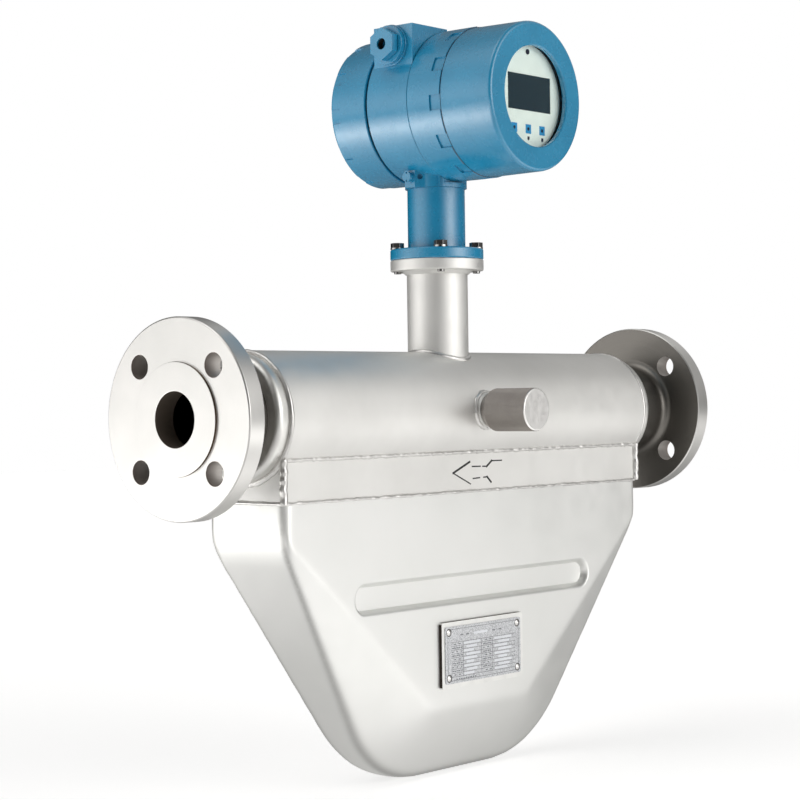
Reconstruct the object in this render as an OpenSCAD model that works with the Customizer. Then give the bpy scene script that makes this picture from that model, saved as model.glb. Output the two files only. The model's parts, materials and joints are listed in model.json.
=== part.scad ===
// Coriolis mass flow meter, DN40: two delta-shaped flow tubes in a pressed case that hangs
// under a manifold tube, and a transmitter in a two-chamber housing on a neck above it.
// The origin is the centre of the outlet flange's raised face. +X runs along the pipe to
// the inlet flange, -Y is the front with the display, and +Z is up. All sizes are in mm.

/* [Pipe connection] */
// Length over the two raised faces
face_to_face = 602; // [590:1:660]
// Outside diameter of each flange
flange_d = 150; // [142:1:170]
// Thickness of the flange plate without its raised face
flange_t = 16; // [12:0.5:22]
// Diameter of the raised face
raised_d = 84; // [72:1:88]
// Height of the raised face
raised_h = 2; // [1:0.5:3]
// Diameter of the bolt circle
bolt_circle = 110; // [108:0.5:120]
// Diameter of the bolt holes
bolt_hole_d = 18; // [14:0.5:20]
// Bore of the pipe
bore_d = 41.5; // [34:0.5:48]
// Outside diameter of the hub behind the flange
hub_d = 76; // [60:1:84]
// Fillet between the flange and its hub
hub_fillet = 8; // [2:0.5:9]

/* [Manifold] */
// Outside diameter of the manifold tube
manifold_d = 102; // [98:1:110]
// Wall of the manifold tube
manifold_wall = 3.5; // [2:0.5:5]
// Length of the manifold tube
manifold_len = 460; // [440:1:466]
// Width of the rounded shoulder at each end of the manifold tube
shoulder_w = 13; // [8:0.5:15]
// Step in radius from the manifold tube down to the shoulder
shoulder_step = 2; // [1:0.5:4]
// Rounding of the shoulder's outer edge
shoulder_edge_r = 5; // [2:0.5:7]
// How far the flow splitter reaches past the tubes inside the manifold
splitter_reach = 24; // [18:1:34]

/* [Flow tubes] */
// Outside diameter of each flow tube
tube_d = 24; // [20:0.5:25]
// Wall of each flow tube
tube_wall = 1.6; // [1:0.1:3]
// Clear space between the two flow tubes
tube_gap = 9; // [8:0.5:11]
// Distance from the case's outline in to the centre line of the flow tubes
tube_inset = 36; // [32:0.5:44]
// Bend radius of the passages inside the flow splitter
elbow_r = 30; // [28:0.5:31]
// How far the tubes' radius draws in through each bend
bend_draw = 0.2; // [0.15:0.05:0.3]

/* [Collar] */
// Distance from the pipe axis down to the collar's lower edge
collar_drop = 64; // [58:1:70]
// Depth of the collar from front to back
collar_depth = 80; // [76:1:86]
// Thickness of the collar's plates
collar_plate = 3; // [2:0.5:4]
// How far the collar's ends lie inside the manifold tube's ends
collar_end_gap = 0.5; // [0:0.5:4]

/* [Sensor case] */
// Distance from the pipe axis down to the bottom of the case
case_drop = 295.5; // [290:0.5:320]
// Depth of the case from front to back
case_depth = 82; // [80:1:90]
// Thickness of the pressed sheet
case_wall = 2.5; // [1.5:0.5:3]
// Distance from the pipe axis down to the knee where the sides turn inwards
knee_drop = 132; // [128:1:136]
// Slope of the lower sides, from the horizontal
side_slope = 52.4; // [50:0.1:55]
// Radius of the outline at the knee
knee_r = 66; // [56:1:80]
// Radius of the outline at the bottom corners
bottom_r = 118; // [110:1:122]
// Width of the side band that runs round the case
band_w = 46; // [44:1:50]
// Rounding of the side band's edges
band_edge_r = 14; // [12:1:16]
// Distance from the case's side in to the corner of its flat face
flat_inset = 7; // [5:0.5:10]
// Distance from the pipe axis down to that corner
flat_knee_drop = 88; // [84:1:92]
// Slope of the flat face's lower sides, from the horizontal
flat_slope = 44; // [40:0.5:48]
// Height of the sloping band from the flat face's lower edge down to the case's bottom
bottom_band = 57.5; // [50:0.5:64]
// Corner radius at the bottom of the flat face
flat_corner_r = 60; // [40:1:70]

/* [Stiffening groove] */
// Length of the groove's floor
groove_len = 300; // [240:1:310]
// Height of the groove's floor
groove_h = 18; // [12:0.5:22]
// Depth of the groove
groove_depth = 6; // [3:0.5:8]
// Extra width of the groove's mouth all round
groove_flare = 4; // [2:0.5:6]
// Distance from the pipe axis down to the groove
groove_drop = 142; // [138:0.5:148]

/* [Nameplate] */
// Width of the nameplate's holder
holder_w = 107; // [90:1:112]
// Height of the nameplate's holder
holder_h = 54; // [44:1:56]
// Thickness of the holder
holder_t = 2.4; // [1.5:0.1:3]
// Distance from the pipe axis down to the nameplate's centre
holder_drop = 195; // [190:1:200]
// Margin between the holder's edge and the nameplate
nameplate_margin = 4; // [3:0.5:6]
// Thickness of the nameplate
nameplate_t = 0.8; // [0.5:0.1:1.2]
// Diameter of the rivets' heads
rivet_head_d = 5; // [4:0.2:6]

/* [Neck] */
// Outside diameter of the steel neck pipe
neck_d = 50.8; // [48:0.1:54]
// Wall of the steel neck pipe
neck_wall = 3.4; // [2.5:0.1:4]
// Distance from the pipe axis up to the underside of the steel flange
neck_rise = 118.5; // [100:0.5:140]
// Diameter of the steel flange and of the adapter's flange
neck_flange_d = 77.8; // [77:0.1:84]
// Thickness of the steel flange
neck_flange_t = 9.3; // [7:0.1:12]
// Thickness of the adapter's flange
adapter_flange_t = 9.1; // [7:0.1:12]
// Outside diameter of the adapter's tube
adapter_d = 48; // [46:0.5:49]
// Wall of the adapter's tube
adapter_wall = 5; // [4:0.5:6]
// Diameter of the bolt circle of the neck flanges
neck_bolt_circle = 66; // [65:0.5:66.5]
// Thread diameter of the neck bolts
neck_bolt_d = 6; // [5:0.5:6]
// Width across the flats of the neck bolts' heads
neck_bolt_af = 10; // [8:0.5:10]
// Height of the neck bolts' heads
neck_bolt_head = 4; // [3:0.5:6]
// Outside diameter of the neck bolts' washers
neck_washer_d = 11.6; // [11:0.2:12]
// Thickness of the neck bolts' washers
neck_washer_t = 1.4; // [1:0.1:2]

/* [Transmitter housing] */
// Distance from the pipe axis up to the axis of the housing
head_rise = 254; // [250:0.5:262]
// Outside diameter of the housing's middle body
head_d = 122; // [120:1:126]
// Reach of the middle body in front of the neck axis
body_front = 21; // [20.5:0.5:24]
// Reach of the middle body behind the neck axis
body_rear = 22.3; // [21:0.1:26]
// Thickness of the covers round the threads
thread_wall = 4.6; // [4.2:0.1:6]
// Length of those threads
spigot_len = 18; // [15:0.5:20]
// Thickness of the body between its chambers and the threads
chamber_wall = 4.9; // [4:0.1:6]
// Thickness of the wall between the two chambers
partition_t = 8; // [5:0.5:10]
// Diameter of the saddle that joins the housing to the neck
saddle_d = 51.6; // [50:0.2:54]
// Depth of the socket for the adapter's upper end
saddle_socket = 12; // [8:0.5:13]

/* [Covers] */
// Length of the front cover
front_cover_len = 84.5; // [78:0.5:92]
// Length of the rear cover
rear_cover_len = 38; // [34:0.5:46]
// How far the notched rings at the covers' roots stand out from the body
ring_step = 0.9; // [0.5:0.1:2]
// Length of the front cover's ring
front_ring_len = 34.5; // [30:0.5:40]
// Number of notches round each ring
notch_count = 12; // [8:1:16]
// Width of each notch, in degrees
notch_angle = 11.5; // [8:0.5:14]
// Length of each notch along the cover
notch_len = 11; // [8:0.5:14]
// Depth of each notch below the ring
notch_depth = 1.4; // [1:0.1:2]
// How far the front cover tapers in towards its face
cover_draw = 0.7; // [0.4:0.1:2]
// Rounding of the covers' outer edges
cover_edge_r = 3; // [1.5:0.5:4]
// Thickness of the covers' outer walls beyond the threads
cover_wall = 5.5; // [5:0.5:7]
// Gap between the middle body and the front cover
front_seam = 0.5; // [0.4:0.1:1]
// Gap between the middle body and the rear cover
rear_seam = 1.7; // [1:0.1:2.4]
// Pitch of the covers' threads
cover_pitch = 2; // [1.5:0.5:3]
// Diameter of the window's opening
window_d = 81.6; // [78:0.2:84]
// Thickness of the lip round the window
window_lip = 4; // [3:0.5:5]
// Thickness of the window glass
glass_t = 3.8; // [3:0.2:5]
// Width of the lip that holds the glass, all round
glass_seat = 4.2; // [3:0.2:5]

/* [Display] */
// Diameter of the display panel
panel_d = 85; // [84:0.5:86]
// Thickness of the display panel
panel_t = 1.5; // [1:0.1:2]
// Width of the display's visible field
lcd_w = 56.5; // [50:0.5:60]
// Height of the display's visible field
lcd_h = 29; // [24:0.5:32]
// Side of each square key field
key_side = 7.5; // [6:0.1:9]
// Distance between neighbouring key fields
key_pitch = 18.4; // [14:0.1:19]
// Distance from the display's axis down to the key fields
key_drop = 25.7; // [24:0.1:27]

/* [Cable entry] */
// Width across the flats of the gland nut
gland_af = 23.5; // [22.5:0.5:25]
// Length of the gland nut
gland_nut_len = 7; // [6.6:0.2:9]
// Diameter of the gland's collar
gland_collar_d = 31.6; // [28:0.2:33]
// Thickness of the gland's collar
gland_collar_t = 4; // [3:0.2:5]
// Diameter of the cable hole
cable_hole_d = 9; // [7:0.5:10]
// Distance from the housing's axis out to the conduit box's end face
box_reach = 53; // [50:0.5:56]
// Height of the conduit box's top above the housing's axis
box_top = 63; // [62:0.5:66]
// Height of the cable entry's axis above the housing's axis
gland_rise = 47; // [46:0.5:48]

/* [Purge port] */
// Diameter of the knurled cap
cap_d = 34.6; // [32:0.2:38]
// Distance from the pipe axis out to the cap's face
cap_reach = 102; // [96:1:112]
// Height of the port above the pipe axis
port_rise = 2.5; // [0:0.5:5]
// Outside diameter of the port's stub
stub_d = 28; // [27:0.5:31]
// Thread diameter of the port's nipple
nipple_d = 20; // [18:0.5:21]
// Bore of the port
port_bore = 10; // [6:0.5:12]

/* [Fits] */
// Radial clearance of a threaded or running pair
thread_gap = 0.1; // [0.05:0.01:0.1]
// Clearance between curved faces that are welded together
weld_gap = 0.1; // [0.05:0.05:0.2]
// Clearance between loose neighbours
loose_gap = 0.3; // [0.2:0.1:0.5]

/* [Hidden] */

$fn = 96;
eps = 0.01;
mid_x = face_to_face / 2;

flange_r = flange_d / 2;
bore_r = bore_d / 2;
hub_r = hub_d / 2;
flange_edge = 1;
flange_back = raised_h + flange_t;
manifold_r = manifold_d / 2;
manifold_half = manifold_len / 2;
shoulder_end = manifold_half + shoulder_w;
shoulder_r = manifold_r - shoulder_step;
hub_end = mid_x - shoulder_end;

collar_half = manifold_half - collar_end_gap;
collar_front = collar_depth / 2;
case_front_y = case_depth / 2;
mouth_corner_r = 4;
slice_t = 0.1;
lip = 4;

// The case's outline: a knee arc and a bottom arc on each side, joined by straight flanks.
knee_turn = 90 - side_slope;
knee_centre = [-(collar_half - knee_r), -knee_drop + knee_r * tan(knee_turn / 2)];
foot_x = collar_half - (case_drop - knee_drop) / tan(side_slope);
bottom_centre = [-(foot_x - bottom_r * tan(side_slope / 2)), -case_drop + bottom_r];
flat_drop = case_drop - bottom_band;
flat_foot_x = collar_half - flat_inset - (flat_drop - flat_knee_drop) / tan(flat_slope);
flat_centre = [-(flat_foot_x - flat_corner_r * tan(flat_slope / 2)), -flat_drop + flat_corner_r];

tube_r = tube_d / 2;
tube_bore_r = tube_r - tube_wall;
tube_y = (tube_d + tube_gap) / 2;
tube_x = collar_half - tube_inset;
tube_knee_r = 76;
tube_knee_centre = [-(tube_x - tube_knee_r),
    -knee_drop + (tube_inset + tube_knee_r) * tan(knee_turn / 2)];
tube_bottom_r = bottom_r - tube_inset;
tube_bottom = -case_drop + tube_inset;
socket_top = -elbow_r - 4;
lead_in = 8;
flank_start = tube_knee_centre + tube_knee_r * unit(180 + knee_turn);
flank_end = bottom_centre + tube_bottom_r * unit(180 + knee_turn);
brace_drop = 72;
brace_pitch = 12;
brace_t = 4;
brace_edge = 4;
coil_r = 10;
coil_rise = tube_r + coil_r + 3;
coil_gap = 1;
coil_plate = 3;
coil_y = tube_y - 3.5;
coil_foot_w = 11;
magnet_r = 5;
thermometer_r = 2.5;

neck_r = neck_d / 2;
neck_bore_r = neck_r - neck_wall;
neck_flange_r = neck_flange_d / 2;
neck_joint = neck_rise + neck_flange_t;
adapter_top = neck_joint + adapter_flange_t;
neck_bolt_r = neck_bolt_circle / 2;
feedthrough_z = neck_rise - 24;
feedthrough_t = 6;
pin_circle_r = 14;
pin_r = 1;
pin_len = 16;

// The housing is sized from its body: rings, threads and chambers follow the body's radius.
head_r = head_d / 2;
ring_r = head_r + ring_step;
cover_face_r = head_r - cover_draw;
spigot_r = head_r - thread_wall;
cover_bore_r = spigot_r + thread_gap;
chamber_r = spigot_r - chamber_wall;
partition_front = -12;
saddle_z = head_rise - head_r - 6;
saddle_rim = head_rise - ring_r - 1.5 - saddle_z;
saddle_spigot_r = 20;
wire_bore_r = 14;
o_ring_r = 1.2;
o_ring_gap = 0.5;
neck_o_ring_r = neck_r + 2;
cover_o_ring_r = spigot_r + o_ring_gap + o_ring_r;
box_front = -body_front;
box_rear = 20;
box_bore_r = 8;
lug_reach = 30;
lug_w = 17;
lug_h = 17;
lug_chamfer = 6.2;
ground_screw_r = 2.5;
ground_y = 3;
ground_z = saddle_z + lug_h / 2;
rib_w = 1.6;
rib_reach = 1.6;
rib_h = 10;
front_cover_y = -body_front - front_seam;
rear_cover_y = body_rear + rear_seam;
cover_face_y = front_cover_y - front_cover_len;
window_r = window_d / 2;
glass_r = window_r + glass_seat;
glass_front = cover_face_y + window_lip;
glass_rear = glass_front + glass_t;
gasket_t = 1;
ring_t = 4;
ring_bore_r = panel_d / 2 + 0.8;
ring_outer_r = glass_r + 3;
panel_y = glass_rear + 0.8;
board_y = panel_y + panel_t + 6;
board_t = 1.6;
post_pitch_r = 36.4;
post_r = 3;
lcd_offset = [2, 3.5];
sensor_drop = 7.8;
sensor_r = 1.4;
main_board_y = partition_front - 20;
main_board_r = chamber_r - 5.5;
terminal_y = partition_front + partition_t;
terminal_count = 8;
terminal_pitch = 9;
terminal_w = terminal_count * terminal_pitch;
terminal_h = 24;
terminal_len = 20;

gland_y = 1;
gland_z = head_rise + gland_rise;
gland_thread_r = 9.5;
gland_stub_r = 10;
gland_washer_t = 2;
seal_r = 7;
gland_face_x = -box_reach - gland_washer_t - gland_collar_t;

gland_spigot = 5;
seal_len = 5;
seal_start = box_reach + gland_washer_t + gland_collar_t;

cap_r = cap_d / 2;
stub_r = stub_d / 2;
stub_end = manifold_r + 4;
nipple_r = nipple_d / 2;
nipple_len = 22;
seal_t = 2;

// Unit vector in the XZ plane at an angle from +X.
function unit(a) = [cos(a), sin(a)];
// Points along an arc.
function arc(centre, r, from, to, n = 10) =
    [for (i = [0 : n]) centre + r * unit(from + (to - from) * i / n)];
// A left-hand line of points followed by its mirror image.
function mirrored(points) =
    concat(points, [for (i = [len(points) - 1 : -1 : 0]) [-points[i].x, points[i].y]]);

// Everything but the flanges is symmetric about the middle of the pipe.
module at_mid() translate([mid_x, 0, 0]) children();
// Stands a flat XZ drawing up, with its thickness running from y to y + t.
module upright(y, t) translate([0, y + t, 0]) rotate([90, 0, 0]) linear_extrude(t) children();
// A revolved body about the pipe axis; the profile's Y runs along +X.
module along_x() rotate([0, 90, 0]) children();
// A body about an axis that runs towards the back; its local Z runs along +Y.
module along_y(x = 0, z = 0) translate([x, 0, z]) rotate([-90, 0, 0]) children();
module ring(r_out, r_in, h) difference() {
    cylinder(r = r_out, h = h);
    translate([0, 0, -1]) cylinder(r = r_in, h = h + 2);
}
module hexagon(af, h) cylinder(d = af / cos(30), h = h, $fn = 6);
module o_ring(major_r) rotate_extrude() translate([major_r, 0]) circle(r = o_ring_r, $fn = 32);

// ---- Pipe connection ----

module flange() color("gainsboro") difference() {
    along_x() rotate_extrude() polygon(concat(
        [[bore_r, 0], [raised_d / 2, 0], [raised_d / 2, raised_h],
         [flange_r - flange_edge, raised_h], [flange_r, raised_h + flange_edge],
         [flange_r, flange_back - flange_edge], [flange_r - flange_edge, flange_back]],
        arc([hub_r + hub_fillet, flange_back + hub_fillet], hub_fillet, 270, 180, 6),
        [[hub_r, hub_end], [bore_r, hub_end]]));
    for (a = [45 : 90 : 315])
        translate([raised_h - 1, bolt_circle / 2 * cos(a), bolt_circle / 2 * sin(a)])
            along_x() cylinder(d = bolt_hole_d, h = flange_t + 2);
}
module outlet_flange() flange();
module inlet_flange() translate([face_to_face, 0, 0]) mirror([1, 0, 0]) flange();

// ---- Flow splitter: one bore turns into two passages that bend down to the tubes ----

module splitter() color("silver") difference() {
    translate([-shoulder_end, 0, 0]) along_x() rotate_extrude() polygon(concat(
        [[0, 0]],
        arc([shoulder_r - shoulder_edge_r, shoulder_edge_r], shoulder_edge_r, -90, 0, 6),
        [[shoulder_r, shoulder_w - shoulder_step], [shoulder_r - 1, shoulder_w],
         [manifold_r - manifold_wall - weld_gap, shoulder_w],
         [manifold_r - manifold_wall - weld_gap, shoulder_end - tube_x + splitter_reach],
         [0, shoulder_end - tube_x + splitter_reach]]));
    for (side = [-1, 1]) {
        hull() {
            translate([-shoulder_end - 1, 0, 0]) along_x() cylinder(r = bore_r, h = 1, $fn = 48);
            translate([-tube_x - elbow_r - lead_in / 2, side * tube_y, 0])
                along_x() cylinder(r = tube_bore_r - 0.3, h = eps, $fn = 48);
        }
        translate([0, side * tube_y, 0]) {
            translate([-tube_x - elbow_r - lead_in, 0, 0])
                along_x() cylinder(r = tube_bore_r, h = lead_in);
            translate([-tube_x - elbow_r, 0, -elbow_r]) rotate([90, 0, 0])
                rotate_extrude(angle = 90) translate([elbow_r, 0]) circle(r = tube_bore_r);
            translate([-tube_x, 0, socket_top - 1])
                cylinder(r = tube_bore_r, h = -elbow_r - socket_top + 1);
            translate([-tube_x, 0, -manifold_r])
                cylinder(r = tube_r + weld_gap, h = manifold_r + socket_top);
        }
    }
}
module outlet_splitter() at_mid() splitter();
module inlet_splitter() at_mid() mirror([1, 0, 0]) splitter();

// ---- Manifold tube with windows for the flow tubes, the neck's hole and the port's hole ----

module manifold_tube() color("silver") at_mid() difference() {
    translate([-manifold_half, 0, 0]) along_x()
        ring(manifold_r, manifold_r - manifold_wall, manifold_len);
    for (side = [-1, 1])
        translate([side * tube_x - tube_r - 6, -tube_y - tube_r - 4, -manifold_r - 1])
            cube([tube_d + 12, 2 * (tube_y + tube_r + 4), manifold_r - 18]);
    cylinder(r = neck_bore_r, h = manifold_r + 1);
    translate([0, 0, port_rise]) rotate([90, 0, 0]) cylinder(d = port_bore, h = manifold_r + 1);
}

// ---- Collar of four plates between the manifold tube and the case ----

module collar() color("silver") at_mid() difference() {
    translate([-collar_half, -collar_front, -collar_drop])
        cube([2 * collar_half, collar_depth, collar_drop]);
    translate([-collar_half + collar_plate, -collar_front + collar_plate, -collar_drop - 1])
        cube([2 * (collar_half - collar_plate), collar_depth - 2 * collar_plate, collar_drop + 2]);
    translate([-manifold_half - 1, 0, 0]) along_x()
        cylinder(r = manifold_r + weld_gap, h = manifold_len + 2);
}

// ---- Pressed sensor case in two half shells ----

function case_outline(inset, top) = mirrored(concat(
    [[-(collar_half - inset), top]],
    arc(knee_centre, knee_r - inset, 180, 180 + knee_turn, 8),
    arc(bottom_centre, bottom_r - inset, 180 + knee_turn, 270, 10)));
function flat_outline(inset, top) = mirrored(concat(
    [[-(collar_half - mouth_corner_r - inset), top],
     [-(collar_half - flat_inset - inset), -flat_knee_drop]],
    arc(flat_centre, flat_corner_r - inset, 270 - flat_slope, 270, 6)));

// The front half of the case, shrunk by an inset: mouth, side band with a round edge, and
// flat face. It starts at y = back, where the two half shells meet.
module half_form(inset, top, back) {
    edge_r = band_edge_r - inset;
    hull() {
        upright(-slice_t, back + slice_t) polygon(case_outline(inset, top));
        for (a = [0 : 22.5 : 90])
            upright(-(band_w / 2 - band_edge_r + edge_r * sin(a)), slice_t)
                polygon(case_outline(inset + edge_r * (1 - cos(a)), top));
        upright(-(case_front_y - inset), slice_t) polygon(flat_outline(inset, top));
        for (end = [-1, 1])
            translate([end * (collar_half - mouth_corner_r), -(collar_front - mouth_corner_r),
                       top - lip])
                cylinder(r = mouth_corner_r - inset, h = lip, $fn = 24);
    }
}
// The stiffening groove pressed into the face, grown by the sheet's thickness inside.
module groove_form(grow) hull() {
    floor_y = case_front_y - groove_depth - grow;
    for (end = [-1, 1]) translate([end * (groove_len - groove_h) / 2, 0, -groove_drop])
        rotate([90, 0, 0]) {
            translate([0, 0, floor_y]) cylinder(r = groove_h / 2 + grow, h = eps, $fn = 32);
            translate([0, 0, case_front_y])
                cylinder(r = groove_h / 2 + groove_flare + grow, h = eps, $fn = 32);
        }
}
module half_case() color("lightgray") difference() {
    half_form(0, -collar_drop, 0);
    difference() {
        half_form(case_wall, -collar_drop + case_wall, case_wall);
        groove_form(case_wall);
    }
    groove_form(0);
}
module case_front() at_mid() half_case();
module case_rear() at_mid() mirror([0, 1, 0]) half_case();

// ---- Flow tubes ----

// The path of one tube: straight stretches that run a little way into drawn-in bends.
module tube_path(r, end_extra) {
    socket_end = socket_top - loose_gap + end_extra;
    lap = 0.5;
    for (m = [0, 1]) mirror([m, 0, 0]) {
        translate([-tube_x, 0, tube_knee_centre.y - lap])
            cylinder(r = r, h = socket_end - tube_knee_centre.y + lap);
        translate([tube_knee_centre.x, 0, tube_knee_centre.y]) rotate([90, 0, 0]) rotate([0, 0, 180])
            rotate_extrude(angle = knee_turn)
            translate([tube_knee_r, 0]) circle(r = r - bend_draw);
        translate([flank_start.x, 0, flank_start.y]) rotate([0, 180 - knee_turn, 0])
            translate([0, 0, -lap]) cylinder(r = r, h = norm(flank_end - flank_start) + 2 * lap);
        translate([bottom_centre.x, 0, bottom_centre.y]) rotate([90, 0, 0])
            rotate([0, 0, 180 + knee_turn])
            rotate_extrude(angle = side_slope)
            translate([tube_bottom_r, 0]) circle(r = r - bend_draw);
    }
    translate([bottom_centre.x - lap, 0, tube_bottom])
        along_x() cylinder(r = r, h = 2 * (lap - bottom_centre.x));
}
module flow_tube() color("lightsteelblue") difference() {
    tube_path(tube_r, 0);
    tube_path(tube_bore_r, 1);
}
module flow_tube_front() at_mid() translate([0, -tube_y, 0]) flow_tube();
module flow_tube_rear() at_mid() translate([0, tube_y, 0]) flow_tube();

// Two plates on each pair of legs, which set where the free length of the tubes begins.
module brace_bars() color("silver") at_mid() for (side = [-1, 1]) for (i = [0, 1])
    translate([side * tube_x, 0, -brace_drop - i * brace_pitch]) difference() {
        translate([-tube_r - brace_edge, -tube_y - tube_r - brace_edge + 1, 0])
            cube([tube_d + 2 * brace_edge, 2 * (tube_y + tube_r + brace_edge - 1), brace_t]);
        for (y = [-tube_y, tube_y]) translate([0, y, -1])
            cylinder(r = tube_r + weld_gap, h = brace_t + 2);
    }

// ---- Drive coil at the bottom and a pickoff coil on each flank ----

// Places a coil set: local X runs along the tube and local Z points into the delta.
module at_coils() at_mid() {
    flank_mid = (flank_start + flank_end) / 2;
    translate([0, 0, tube_bottom]) children();
    for (m = [0, 1]) mirror([m, 0, 0])
        translate([flank_mid.x, 0, flank_mid.y]) rotate([0, side_slope, 0]) children();
}
// A foot that sits on one tube, with an upright plate that carries a coil or a magnet.
module coil_bracket() difference() {
    union() {
        translate([-coil_r, -tube_y - coil_foot_w / 2 - 0.5, 0])
            cube([2 * coil_r, coil_foot_w, tube_r + 2]);
        translate([-coil_r, -coil_y - coil_plate, 0])
            cube([2 * coil_r, coil_plate, coil_rise + coil_r]);
    }
    translate([-coil_r - 1, -tube_y, 0]) along_x()
        cylinder(r = tube_r + weld_gap, h = 2 * coil_r + 2);
    translate([-coil_r - 1, -tube_y - coil_foot_w / 2 - 1.5, -1])
        cube([2 * coil_r + 2, coil_foot_w + 2, tube_r * 0.6 + 1]);
}
module coil_brackets() color("silver") at_coils() coil_bracket();
module magnet_brackets() color("silver") at_coils() mirror([0, 1, 0]) coil_bracket();
module coils() color("sandybrown") at_coils() translate([0, -coil_y, coil_rise])
    rotate([-90, 0, 0]) ring(coil_r, magnet_r + coil_gap, coil_y - 1);
module magnets() color("dimgray") at_coils() translate([0, -coil_y + 4, coil_rise])
    rotate([-90, 0, 0]) cylinder(r = magnet_r, h = 2 * coil_y - 4);

// A resistance thermometer clipped along one leg of the front tube.
module temperature_sensor() color("khaki") at_mid()
    translate([tube_x - tube_r - thermometer_r - loose_gap, -tube_y, -66])
        cylinder(r = thermometer_r, h = 18);

// ---- Nameplate ----

nameplate_w = holder_w - 2 * nameplate_margin;
nameplate_h = holder_h - 2 * nameplate_margin;
nameplate_front = -case_front_y - holder_t;
rivet_inset = 4.5;

module rounded_plate(w, h, r) {
    square([w, h - 2 * r], center = true);
    square([w - 2 * r, h], center = true);
    for (x = [-1, 1]) for (z = [-1, 1]) translate([x * (w / 2 - r), z * (h / 2 - r)]) circle(r = r);
}
module at_rivets() for (x = [-1, 1]) for (z = [-1, 1])
    translate([x * (nameplate_w / 2 - rivet_inset), 0,
               -holder_drop + z * (nameplate_h / 2 - rivet_inset)]) children();
module rivet_holes() at_rivets() rotate([90, 0, 0])
    translate([0, 0, case_front_y - 1]) cylinder(r = 1.2 + thread_gap, h = 8);

module nameplate_holder() color("silver") at_mid() difference() {
    upright(nameplate_front, holder_t) translate([0, -holder_drop])
        rounded_plate(holder_w, holder_h, 3);
    rivet_holes();
}
module nameplate() color("whitesmoke") at_mid() difference() {
    upright(nameplate_front - nameplate_t, nameplate_t) translate([0, -holder_drop])
        rounded_plate(nameplate_w, nameplate_h, 2);
    rivet_holes();
}
module nameplate_rivets() color("gray") at_mid() at_rivets()
    rotate([90, 0, 0]) translate([0, 0, case_front_y]) rotate_extrude() polygon(concat(
        [[0, 0], [1.2, 0], [1.2, holder_t + nameplate_t], [rivet_head_d / 2, holder_t + nameplate_t]],
        arc([0, holder_t + nameplate_t], 1.3, 60, 90, 3)));

// ---- Purge port on the manifold's front, closed by a knurled cap ----

module at_port() at_mid() translate([0, 0, port_rise]) rotate([90, 0, 0]) children();
module port_stub() color("silver") difference() {
    at_port() difference() {
        union() {
            translate([0, 0, manifold_r - 6]) cylinder(r = stub_r, h = stub_end - manifold_r + 6);
            cylinder(r = nipple_r, h = stub_end + nipple_len);
        }
        translate([0, 0, -1]) cylinder(d = port_bore, h = stub_end + nipple_len + 2);
    }
    at_mid() translate([-manifold_half, 0, 0]) along_x()
        cylinder(r = manifold_r + weld_gap, h = manifold_len);
}
module port_seal() color("black") at_port() translate([0, 0, stub_end + eps])
    ring(nipple_r + 3, nipple_r + loose_gap, seal_t);
module port_cap() color("dimgray") at_port() difference() {
    cap_chamfer = 6;
    chamfer_r = cap_r - stub_r;
    translate([0, 0, stub_end + loose_gap]) rotate_extrude() polygon([
        [0, 0], [stub_r, 0], [cap_r, cap_chamfer], [cap_r, cap_reach - stub_end - loose_gap - 0.8],
        [cap_r - 0.8, cap_reach - stub_end - loose_gap], [0, cap_reach - stub_end - loose_gap]]);
    cylinder(r = nipple_r + thread_gap, h = stub_end + nipple_len + 2);
    cylinder(r = nipple_r + 3 + thread_gap, h = stub_end + seal_t + thread_gap);
}

// ---- Neck: pipe and flange in steel, adapter in painted aluminium ----

module neck_pipe() color("silver") at_mid() difference() {
    translate([0, 0, manifold_r - 12]) ring(neck_r, neck_bore_r, neck_joint - 1 - manifold_r + 12);
    translate([-manifold_half, 0, 0]) along_x()
        cylinder(r = manifold_r + weld_gap, h = manifold_len);
}
module at_neck_bolts(z) at_mid() for (a = [45 : 90 : 315])
    translate([neck_bolt_r * cos(a), neck_bolt_r * sin(a), z]) children();
module neck_flange() color("silver") difference() {
    at_mid() translate([0, 0, neck_rise]) rotate_extrude() polygon([
        [neck_r + weld_gap, -3], [neck_r + 1, -3], [neck_r + 4, 0], [neck_flange_r - 0.6, 0],
        [neck_flange_r, 0.6], [neck_flange_r, neck_flange_t - 0.6],
        [neck_flange_r - 0.6, neck_flange_t], [neck_r + weld_gap, neck_flange_t]]);
    at_neck_bolts(neck_rise - 1) cylinder(r = neck_bolt_d / 2 + thread_gap / 2, h = neck_flange_t + 2);
}
module pin_places() for (a = [0 : 40 : 320]) rotate(a) translate([pin_circle_r, 0, 0]) children();
module feedthrough() color("silver") at_mid() translate([0, 0, feedthrough_z]) difference() {
    cylinder(r = neck_bore_r - weld_gap, h = feedthrough_t);
    pin_places() translate([0, 0, -1]) cylinder(r = pin_r + weld_gap, h = feedthrough_t + 2);
}
module feedthrough_pins() color("gold") at_mid()
    translate([0, 0, feedthrough_z + (feedthrough_t - pin_len) / 2])
    pin_places() cylinder(r = pin_r, h = pin_len);
module neck_o_ring() color("black") at_mid()
    translate([0, 0, neck_joint + o_ring_r]) o_ring(neck_o_ring_r);
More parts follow.
